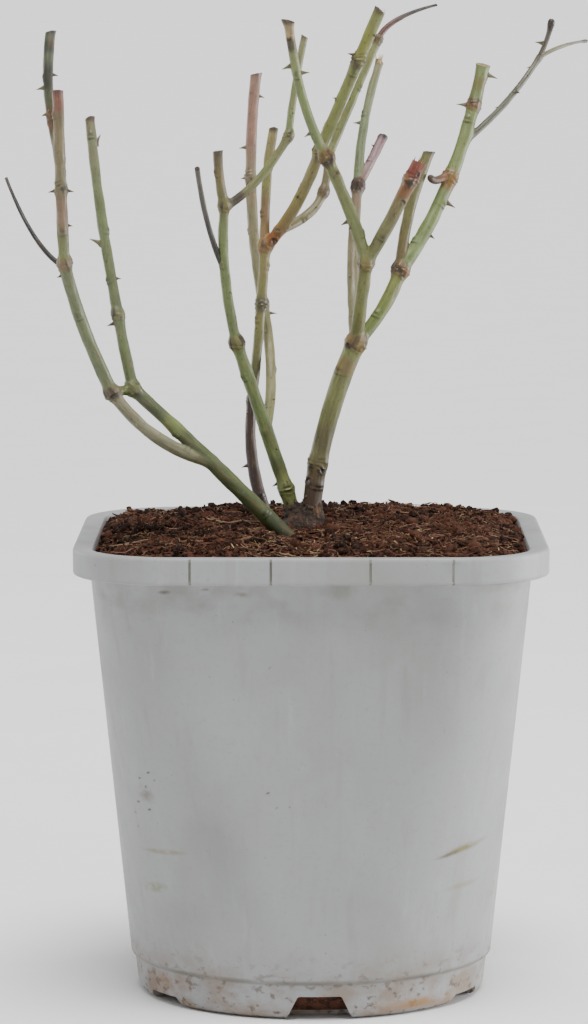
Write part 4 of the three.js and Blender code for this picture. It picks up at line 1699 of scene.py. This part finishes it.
@dataclass
class RoseBush:
    """The plant: limbs fused into canes with their bark's relief, thorns, buds and cut ends."""

    ground: float = 190.5
    voxel: float = 0.36
    fillet: float = 1.3
    cut_slant: float = 0.35
    limbs: dict[str, Limb] = field(default_factory=dict)

    def grow(self) -> None:
        """Works out every limb in turn."""
        for limb in LIMBS:
            limb.grow(self.limbs, self.ground)
            self.limbs[limb.name] = limb

    def tubes(self, name: str, limbs: Sequence[Limb]) -> Piece:
        """Sweeps a round section along each limb and fuses them into one skin.

        Args:
            name: The piece's name.
            limbs: The limbs it is made of.

        Returns:
            The fused mesh.
        """
        curve = bpy.data.curves.new(name, "CURVE")
        curve.dimensions = "3D"
        curve.fill_mode = "FULL"
        curve.bevel_depth = 1.0
        curve.bevel_resolution = 4
        curve.use_fill_caps = True
        for limb in limbs:
            spline = curve.splines.new("POLY")
            spline.points.add(len(limb.line) - 1)
            places = np.column_stack([limb.line * MM, np.ones(len(limb.line))])
            spline.points.foreach_set("co", places.ravel())
            spline.points.foreach_set("radius", limb.radius(limb.stations) * MM)
        make_active(link(name, curve))
        bpy.ops.object.convert(target="MESH")
        piece = bpy.context.object
        apply_modifier(piece, "REMESH", mode="VOXEL", voxel_size=self.voxel * MM)
        return piece

    def nearest(self, points: Array, limb: Limb) -> tuple[Array, Array, Array]:
        """Where points lie against a limb's centre line.

        Args:
            points: Places in millimetres.
            limb: The limb.

        Returns:
            Distance from the line, millimetres along it and angle round it.
        """
        best = np.empty(len(points), dtype=np.int64)
        line = limb.line
        for k in range(0, len(points), 20000):
            part = points[k : k + 20000]
            gap = (line * line).sum(1)[None, :] - 2 * part @ line.T
            best[k : k + 20000] = np.argmin(gap, axis=1)
        away = points - line[best]
        tangent = limb.tangents[best]
        step = np.clip((away * tangent).sum(1), -0.3, 0.3)
        away = away - step[:, None] * tangent
        side = unit(np.cross(tangent, GRAIN_SIDE))
        other = np.cross(tangent, side)
        angle = np.arctan2((away * other).sum(1), (away * side).sum(1))
        return np.linalg.norm(away, axis=1), limb.stations[best] + step, angle

    def field(
        self, points: Array, limbs: Sequence[Limb], paint: bool = False
    ) -> tuple[Array, Array, Array]:
        """How far points lie outside the finished bark.

        Args:
            points: Places in millimetres.
            limbs: The limbs of the piece.
            paint: Whether to work out the colours too.

        Returns:
            Distance outside the bark, colour, and place along the grain.
        """
        near = np.full(len(points), 1e9)
        total = np.full(len(points), 1e9)
        colour = np.zeros((len(points), 3))
        grain = np.zeros((len(points), 3))
        for index, limb in enumerate(limbs):
            low, high = limb.line.min(axis=0) - 9, limb.line.max(axis=0) + 9
            here = np.nonzero(((points > low) & (points < high)).all(axis=1))[0]
            away, station, angle = self.nearest(points[here], limb)
            bark = BarkRelief(limb, station, angle, index + 1)
            value = away - limb.radius(station) - bark.out
            before = total[here]
            mixed = np.maximum(self.fillet - np.abs(before - value), 0) / self.fillet
            total[here] = np.minimum(before, value) - mixed * mixed * self.fillet / 4
            if paint:
                share = smooth_step(0.9, -0.9, value - near[here])[:, None]
                tone = limb.tone(station) * (1 - bark.dark)[:, None]
                tone = tone + np.array(hex_colour(HOLLOW)[:3]) * bark.dark[:, None]
                colour[here] = colour[here] * (1 - share) + tone * share
                closer = here[value < near[here]]
                mean = sum(limb.r) / 2
                rows = np.column_stack([angle * mean + index * 40, station, np.full(len(here), index * 9.0)])
                grain[closer] = rows[value < near[here]]
            near[here] = np.minimum(near[here], value)
        return total, colour, grain

    def settle_bark(self, piece: Piece, limbs: Sequence[Limb]) -> None:
        """Moves a fused skin onto the bark's true surface, and stores its tones, with painted light and
        shade, and its grain.

        Args:
            piece: The fused mesh.
            limbs: The limbs it is made of.
        """
        count = len(piece.data.vertices)
        for _ in range(2):
            points = mesh_points(piece) / MM
            normals = np.empty(count * 3, dtype=np.float32)
            piece.data.vertices.foreach_get("normal", normals)
            gap = self.field(points, limbs)[0]
            step = np.clip(gap, -0.8, 0.8)[:, None] * normals.reshape(-1, 3)
            move_points(piece, (points - step) * MM)
        points = mesh_points(piece) / MM
        _, colour, grain = self.field(points, limbs, paint=True)
        patchy = value_noise(points, 5.0, 31) * 0.12 + value_noise(points, 1.9, 32) * 0.08
        piece.data.vertices.foreach_get("normal", normals)
        # Painted light and shade: bark facing up and to the left is painted paler, and bark facing away is
        # painted darker.
        painted_light_facing = normals.reshape(-1, 3) @ PAINTED_LIGHT_WAY
        colour = np.clip(colour * (0.9 + patchy + 0.24 * painted_light_facing)[:, None], 0, 1)
        tone = piece.data.attributes.new("bark", "FLOAT_COLOR", "POINT")
        tone.data.foreach_set("color", np.column_stack([colour, np.ones(count)]).ravel())
        along = piece.data.attributes.new("grain", "FLOAT_VECTOR", "POINT")
        along.data.foreach_set("vector", grain.ravel())

    def prune(self, piece: Piece, limbs: Sequence[Limb]) -> None:
        """Cuts each pruned tip off with a flat slanting face.

        Args:
            piece: The fused mesh.
            limbs: The limbs it is made of.
        """
        make_active(piece)
        bpy.ops.object.mode_set(mode="EDIT")
        bpy.ops.mesh.select_mode(type="VERT")
        for index, limb in enumerate(limbs):
            if not limb.cut:
                continue
            tip, along = limb.point(1.0), limb.tangent(1.0)
            side = np.cross(along, [math.cos(index * 1.9), math.sin(index * 1.9), 0.3])
            if limb.end is End.FRESH:
                side = np.array([0.0, 1.0, 0.0]) - along[1] * along
            face = unit(along - self.cut_slant * (1.6 if limb.end is End.FRESH else 1.0) * unit(side))
            reach = limb.r[1] * max(limb.knob, 1.0)
            lower = tip - along * self.cut_slant * reach
            bpy.ops.mesh.select_all(action="DESELECT")
            mesh = bmesh.from_edit_mesh(piece.data)
            for vertex in mesh.verts:
                away = np.array(vertex.co) / MM - tip
                run = away @ along
                if -3.5 < run < 4.5 and away @ away - run * run < (reach + 0.9) ** 2:
                    vertex.select_set(True)
            mesh.select_flush(True)
            bmesh.update_edit_mesh(piece.data)
            bpy.ops.mesh.bisect(
                plane_co=Vector(lower * MM), plane_no=Vector(face), use_fill=True, clear_outer=True
            )
            mesh = bmesh.from_edit_mesh(piece.data)
            for polygon in mesh.faces:
                if polygon.select and len(polygon.verts) > 8:
                    polygon.material_index = 2 if limb.end is End.FRESH else 1
            bpy.ops.mesh.select_mode(type="FACE")
            bpy.ops.mesh.inset(thickness=0.3 * MM, depth=-0.12 * MM)
            bpy.ops.mesh.inset(thickness=reach * 0.45 * MM, depth=0.1 * MM)
            bpy.ops.mesh.poke()
            bpy.ops.mesh.select_mode(type="VERT")
        bpy.ops.object.mode_set(mode="OBJECT")

    def canes(self, name: str, names: Sequence[str], finishes: Finishes) -> None:
        """Models one group of canes.

        Args:
            name: The piece's name.
            names: Its limbs.
            finishes: Bark and cut wood.
        """
        limbs = [self.limbs[item] for item in names]
        piece = self.tubes(name, limbs)
        self.settle_bark(piece, limbs)
        self.prune(piece, limbs)
        shade_smooth(piece, 40)
        settle(piece, finishes, names)

    def collar(self, finishes: Finishes) -> None:
        """Models the knobby root collar, with the sleeves of bark that its stems rise from.

        Args:
            finishes: Old bark and cut wood.
        """
        sleeves = []
        for name in ("stem_right", "stem_middle"):
            stem = self.limbs[name]
            reach = 9.0 / stem.length
            sleeve = Limb(
                name + "_sleeve", tuple(stem.point(reach / 2)), tuple(stem.point(reach)),
                (stem.r[0] + 1.5, stem.r[0] - 0.9), ("#332017", "#3f2b21", "#4a3b29"),
                on="root_collar", at=stem.at, out=stem.out, corky=True,
            )
            sleeve.grow(self.limbs, self.ground)
            sleeves.append(sleeve)
        limbs = [self.limbs["root_collar"], *sleeves]
        piece = self.tubes("root_collar_bark", limbs)
        self.settle_bark(piece, limbs)
        shade_smooth(piece, 60)
        settle(piece, finishes, ["root_collar"])

    def thorn_pattern(self) -> Pattern:
        """A thorn one unit long that points along X, on a base drawn out along Z.

        Returns:
            Its points and faces.
        """
        deselect_all()
        bpy.ops.mesh.primitive_circle_add(vertices=8, radius=1, fill_type="NGON")
        piece = bpy.context.object
        bpy.ops.object.mode_set(mode="EDIT")
        bpy.ops.mesh.select_all(action="SELECT")
        for rise, shrink in ((0.12, 0.78), (0.16, 0.72), (0.24, 0.62), (0.26, 0.5), (0.22, 0.25)):
            bpy.ops.mesh.extrude_region_move(TRANSFORM_OT_translate={"value": (0, 0, rise)})
            bpy.ops.transform.resize(value=(shrink, shrink, 1))
        bpy.ops.object.mode_set(mode="OBJECT")
        points, faces = pattern_of(piece)
        along = points[:, 2].copy()
        hook = -0.26 * along**2
        return np.column_stack([along, points[:, 0] * 0.62, points[:, 1] * 1.35 + hook]), faces

    def thorns(self, name: str, names: Sequence[str], seed: int, horn: Finishes) -> None:
        """Models the thorns of some limbs: the measured ones, and small seeded ones between.

        Args:
            name: The piece's name.
            names: The limbs.
            seed: Seeds the small ones.
            horn: The materials they are dealt out over.
        """
        rng = np.random.default_rng(seed)
        pattern = self.thorn_pattern()
        placed = []
        for item in names:
            limb = self.limbs[item]
            rows = [tuple(row) for row in limb.thorns]
            for _ in range(int(limb.length / 26)):
                heading = rng.choice((90, 270)) + rng.uniform(-50, 50)
                rows.append((rng.uniform(0.1, 0.92), heading, rng.uniform(1.0, 2.2), -0.15))
            for row in rows:
                share, heading, length = row[:3]
                rise = row[3] if len(row) > 3 else -0.1
                along = limb.tangent(share)
                out = level_way(heading)
                out = unit(out - out @ along * along)
                lean = unit(out + rise * along)
                up = unit(along - along @ lean * lean)
                side = np.cross(up, lean)
                radius = float(limb.radius(np.array([share * limb.length]))[0])
                base = 0.7 + 0.1 * length
                size = np.array([0.74 * length + 0.75, base, base])
                points = (pattern[0] * size) @ np.stack([lean, side, up])
                placed.append((points + limb.point(share) + out * (radius - 0.75)) * MM)
        tones = rng.integers(0, len(horn), len(placed))
        copies(name, pattern, placed, tones, horn)

    def splinters(self, finishes: Finishes) -> None:
        """Models the torn fibres that stand at the edge of some cuts.

        Args:
            finishes: Pale and red torn wood.
        """
        rng = np.random.default_rng(61)
        pattern = self.thorn_pattern()
        placed, tones = [], []
        for limb in self.limbs.values():
            along, tip = limb.tangent(1.0), limb.point(1.0)
            count, longest = limb.torn
            for _ in range(count):
                heading = rng.uniform(0, 2 * math.pi)
                out = np.array([math.cos(heading), math.sin(heading), 0.1])
                out = unit(out - out @ along * along)
                lean = unit(along + rng.uniform(-0.1, 0.45) * out)
                side = unit(np.cross(lean, out))
                size = np.array([rng.uniform(0.5, 1.0), rng.uniform(0.1, 0.22), rng.uniform(0.05, 0.08)])
                size *= longest
                points = (pattern[0] * size) @ np.stack([lean, side, np.cross(lean, side)])
                reach = limb.r[1] * rng.uniform(0.55, 0.95)
                placed.append((points + tip - 1.9 * along + out * reach) * MM)
                tones.append(int(limb.name == "spur_right_front" and rng.uniform() < 0.6))
        copies("torn_splinters", pattern, placed, np.array(tones), finishes)

    def build(self, bark: Finish, old_bark: Finish, wood: Finishes, horn: Finishes, torn: Finishes) -> None:
        """Models and dresses the whole plant.

        Args:
            bark: The canes' green bark.
            old_bark: The collar's bark.
            wood: The cut ends, weathered and fresh.
            horn: The thorns' materials.
            torn: Torn wood, pale and red.
        """
        self.grow()
        self.collar([old_bark, *wood])
        for index, (name, names) in enumerate(GROUPS.items()):
            self.canes(name, names, [bark, *wood])
            self.thorns(name.replace("canes", "thorns"), names, 40 + index, horn)
        for limb in LIMBS:
            if limb.name.startswith("twig"):
                self.canes(limb.name + "_bark", [limb.name], [bark, *wood])
        self.thorns("thorns_twigs", ["twig_right_bud"], 50, horn)
        self.splinters(torn)


# ---------- studio ----------


@dataclass
class Studio:
    """A pale floor, soft lights and the camera. Metres."""

    distance: float = 1.8934
    eye: float = 0.4032
    pitch: float = 0.1088
    turn: float = 0.0037
    lens: float = 163.42
    ambient: float = 0.55
    horizon: float = 1.43
    top_light: float = 4.3
    side_light: float = 19.0

    def camera(self) -> None:
        """Places the camera."""
        data = bpy.data.cameras.new("camera")
        data.lens, data.sensor_width = self.lens, 36.0
        data.clip_start, data.clip_end = 0.05, 100.0
        camera = link("camera", data)
        camera.location = (0, -self.distance, self.eye)
        camera.rotation_euler = (math.pi / 2 - self.pitch, 0, self.turn)
        bpy.context.scene.camera = camera

    def lamp(self, name: str, place: Triple, size: float, power: float) -> None:
        """Hangs one square soft light that faces the plant.

        Args:
            name: The light's name.
            place: Where it hangs.
            size: Its width.
            power: Its power in watts.
        """
        data = bpy.data.lights.new(name, "AREA")
        data.size, data.energy = size, power
        light = link(name, data)
        light.location = place
        aim = Vector((0, 0, 0.2)) - Vector(place)
        light.rotation_euler = aim.to_track_quat("-Z", "Y").to_euler()

    def build(self) -> None:
        """Sets up the studio."""
        self.camera()
        deselect_all()
        bpy.ops.mesh.primitive_plane_add(size=900, location=(0, 0, -0.0002))
        floor = bpy.context.object
        floor.name = "studio_floor"
        recipe = Recipe("painted_floor_matt")
        colour = recipe.layers(recipe.plain("#e8e8e8"), (Layer("#e3e3e3", (90, 90, 90), 0.4, 0.7, 0.5),))
        floor.data.materials.append(recipe.finish(colour, recipe.noise((2, 2, 2)), 0.01, (0.8, 0.95)))
        world = bpy.data.worlds.new("studio_light")
        world.use_nodes = True
        background = world.node_tree.nodes["Background"]
        background.inputs[0].default_value = (1.0, 1.0, 1.0, 1.0)
        way = add_node(world.node_tree, "ShaderNodeTexCoord").outputs["Generated"]
        rise = add_node(world.node_tree, "ShaderNodeSeparateXYZ", {}, {0: way}).outputs[2]
        glow = {1: 0.03, 2: 0.2, 3: self.horizon, 4: self.ambient, "interpolation_type": "SMOOTHSTEP"}
        strength = add_node(world.node_tree, "ShaderNodeMapRange", glow, {0: rise}).outputs[0]
        world.node_tree.links.new(strength, background.inputs[1])
        bpy.context.scene.world = world
        sun = bpy.data.lights.new("soft_top", "SUN")
        sun.energy, sun.angle = self.top_light, math.radians(32)
        light = link("soft_top", sun)
        light.rotation_euler = Vector((-0.06, 0.27, -0.93)).to_track_quat("-Z", "Y").to_euler()
        self.lamp("soft_right", (1.25, 0.15, 0.28), 0.5, self.side_light)
        self.lamp("soft_left", (-1.1, 0.75, 0.35), 0.35, self.side_light * 0.22)


# ---------- the scene ----------

STAINS_AND_PAINTED_SHADE = (
    # Painted shade: a broad soft dark patch over the left of the front; the rows after it are stains.
    StainOrPaintedShade(-36, 70, -68, (62, 16), "#6e6f6d", 0.34),
    StainOrPaintedShade(61.5, 68, 13, (14, 2.2), "#6f6738", 0.95),
    StainOrPaintedShade(57, 66.4, 13, (10, 1.2), "#514a31", 0.95),
    StainOrPaintedShade(61, 52, 8, (12, 2.0), "#7f7c65", 0.8),
    StainOrPaintedShade(-58.5, 66.5, 4, (12, 1.6), "#76704a", 0.9),
    StainOrPaintedShade(-62.8, 50.4, 10, (7, 3.2), "#707a54", 0.9),
    StainOrPaintedShade(-66, 90, 40, (4, 6), "#5e5646", 0.6),
    StainOrPaintedShade(-69, 86, 10, (1.1, 0.9), "#343028", 1.0),
    StainOrPaintedShade(-64.5, 83.5, 30, (1.2, 0.8), "#343028", 1.0),
    StainOrPaintedShade(-66, 93, 70, (0.9, 0.7), "#3d3829", 1.0),
    StainOrPaintedShade(-68.4, 96.3, 20, (1.0, 0.7), "#343028", 1.0),
    StainOrPaintedShade(-62.3, 96.3, 60, (0.8, 0.6), "#343028", 1.0),
    StainOrPaintedShade(-70.5, 81, 0, (1.0, 0.8), "#3d3829", 1.0),
    StainOrPaintedShade(-69.2, 75.4, 45, (0.9, 0.6), "#3d3829", 1.0),
    StainOrPaintedShade(-64.8, 99.2, 30, (1.2, 0.7), "#343028", 1.0),
    StainOrPaintedShade(-17, 93.5, 20, (1.3, 0.6), "#413c2f", 1.0),
    StainOrPaintedShade(-13.5, 87.5, 50, (0.9, 0.6), "#413c2f", 1.0),
    StainOrPaintedShade(-57.4, 174.2, 0, (4, 1.3), "#433426", 0.95),
    StainOrPaintedShade(-41.5, 175.3, 5, (2.6, 0.9), "#433426", 0.9),
    StainOrPaintedShade(-27.8, 173.3, 0, (5, 1.6), "#5e4c34", 0.85),
    StainOrPaintedShade(-40.2, 180.1, 60, (1.6, 0.9), "#514331", 0.9),
    StainOrPaintedShade(-60, 9, 8, (13, 6), "#775530", 0.95),
    StainOrPaintedShade(-66, 6, 40, (8, 4.5), "#553d24", 0.9),
    StainOrPaintedShade(46, 4, 0, (26, 4.2), "#876334", 0.95),
    StainOrPaintedShade(62, 12, 20, (9, 3), "#7a5e38", 0.7),
    StainOrPaintedShade(20, 60, 10, (14, 1.6), "#605e43", 0.7, 180),
    StainOrPaintedShade(-45, 120, 80, (22, 3), "#7a7867", 0.5, 180),
    StainOrPaintedShade(-30, 45, 20, (7, 6), "#6f7f5f", 0.6, 90),
    StainOrPaintedShade(35, 150, 85, (18, 2), "#7a7867", 0.5, 90),
    StainOrPaintedShade(10, 80, -12, (16, 1.4), "#69664f", 0.6, 270),
    StainOrPaintedShade(-40, 40, 15, (8, 5), "#6f7f5f", 0.5, 270),
)


FILL_LAYERS = (
    Layer("#60402c", (22, 22, 22), 0.45, 0.65, 0.45, 6.0, 2.0),
    Layer("#170b07", (3.4, 3.4, 3.4), 0.46, 0.64, 0.85, 1.0, 6.0),
    Layer("#52301f", (2.2, 2.2, 2.2), 0.56, 0.70, 0.70, 4.0, 6.0),
    Layer("#705038", (1.1, 1.1, 1.1), 0.63, 0.72, 0.50, 8.0, 4.0),
)
CRUMB_LAYERS = (
    Layer("#160a06", (1.6, 1.6, 1.6), 0.50, 0.66, 0.50, 5.0, 4.0),
    Layer("#735038", (0.9, 0.9, 0.9), 0.54, 0.70, 0.50, 2.0, 4.0),
)
# Damp peat is near black and dries through brown to tan; coir is rusty, and bare rootlets are palest.
# Each family: its name, its tones, the tones laid over them and the depth of its relief.
COMPOST_FAMILIES = (
    ("peat_compost",
     {"dark": "#190a05", "umber": "#210f07", "brown": "#2a150b", "red": "#341b0f", "tan": "#44281b"},
     CRUMB_LAYERS, 0.5),
    ("coir_fibre", {"rust": "#55362a", "brown": "#402a1f", "red": "#694638", "straw": "#7c6650"}, (), 0.15),
    ("rootlet", {"pink": "#846354", "cream": "#9c8766", "tan": "#6f573c"}, (), 0.1),
)


def main() -> None:
    """Builds the studio, the pot, its fill and the plant, in that order."""
    logging.basicConfig(level=logging.INFO, format="%(relativeCreated)d %(message)s")
    Studio().build()
    pot = NurseryPot()
    pot.build(
        MouldedPolypropylene(stains_and_painted_shade=STAINS_AND_PAINTED_SHADE).build(),
        # The darker plastic for the rim's grooves: soiling, with painted shade in them.
        MouldedPolypropylene("moulded_polypropylene_groove_grime_and_shade", "#5f5f55").build(),
    )
    compost = Compost(pot)
    compost.body(CompostFinish("peat_compost_fill", "#422519", FILL_LAYERS, 0.9).build())
    dark, pale, light = (
        [CompostFinish(f"{family}_{name}", tone, layers, relief).build() for name, tone in tones.items()]
        for family, tones, layers, relief in COMPOST_FAMILIES
    )
    CompostBits(compost).build(dark, pale, light)
    RoseBush().build(
        LivingBark("rose_bark_green_waxy", (0.40, 0.62), 0.10, 0.27).build(),
        LivingBark("rose_bark_old_corky", (0.8, 0.95), 0.6, 0.45, 0.16).build(),
        [
            CutWood("rose_wood_cut_weathered", "#45392b", "#1f1913").build(),
            CutWood("rose_wood_cut_fresh", "#9c8a67", "#5f4f36").build(),
        ],
        [ThornHorn("rose_thorn_brown", "#51412f").build(), ThornHorn("rose_thorn_olive", "#5a5537").build()],
        [
            CutWood("rose_wood_torn_pale", "#ae9e6e", "#7a5f3c").build(),
            CutWood("rose_wood_torn_red", "#954634", "#51241d").build(),
        ],
    )


if __name__ == "__main__":
    main()
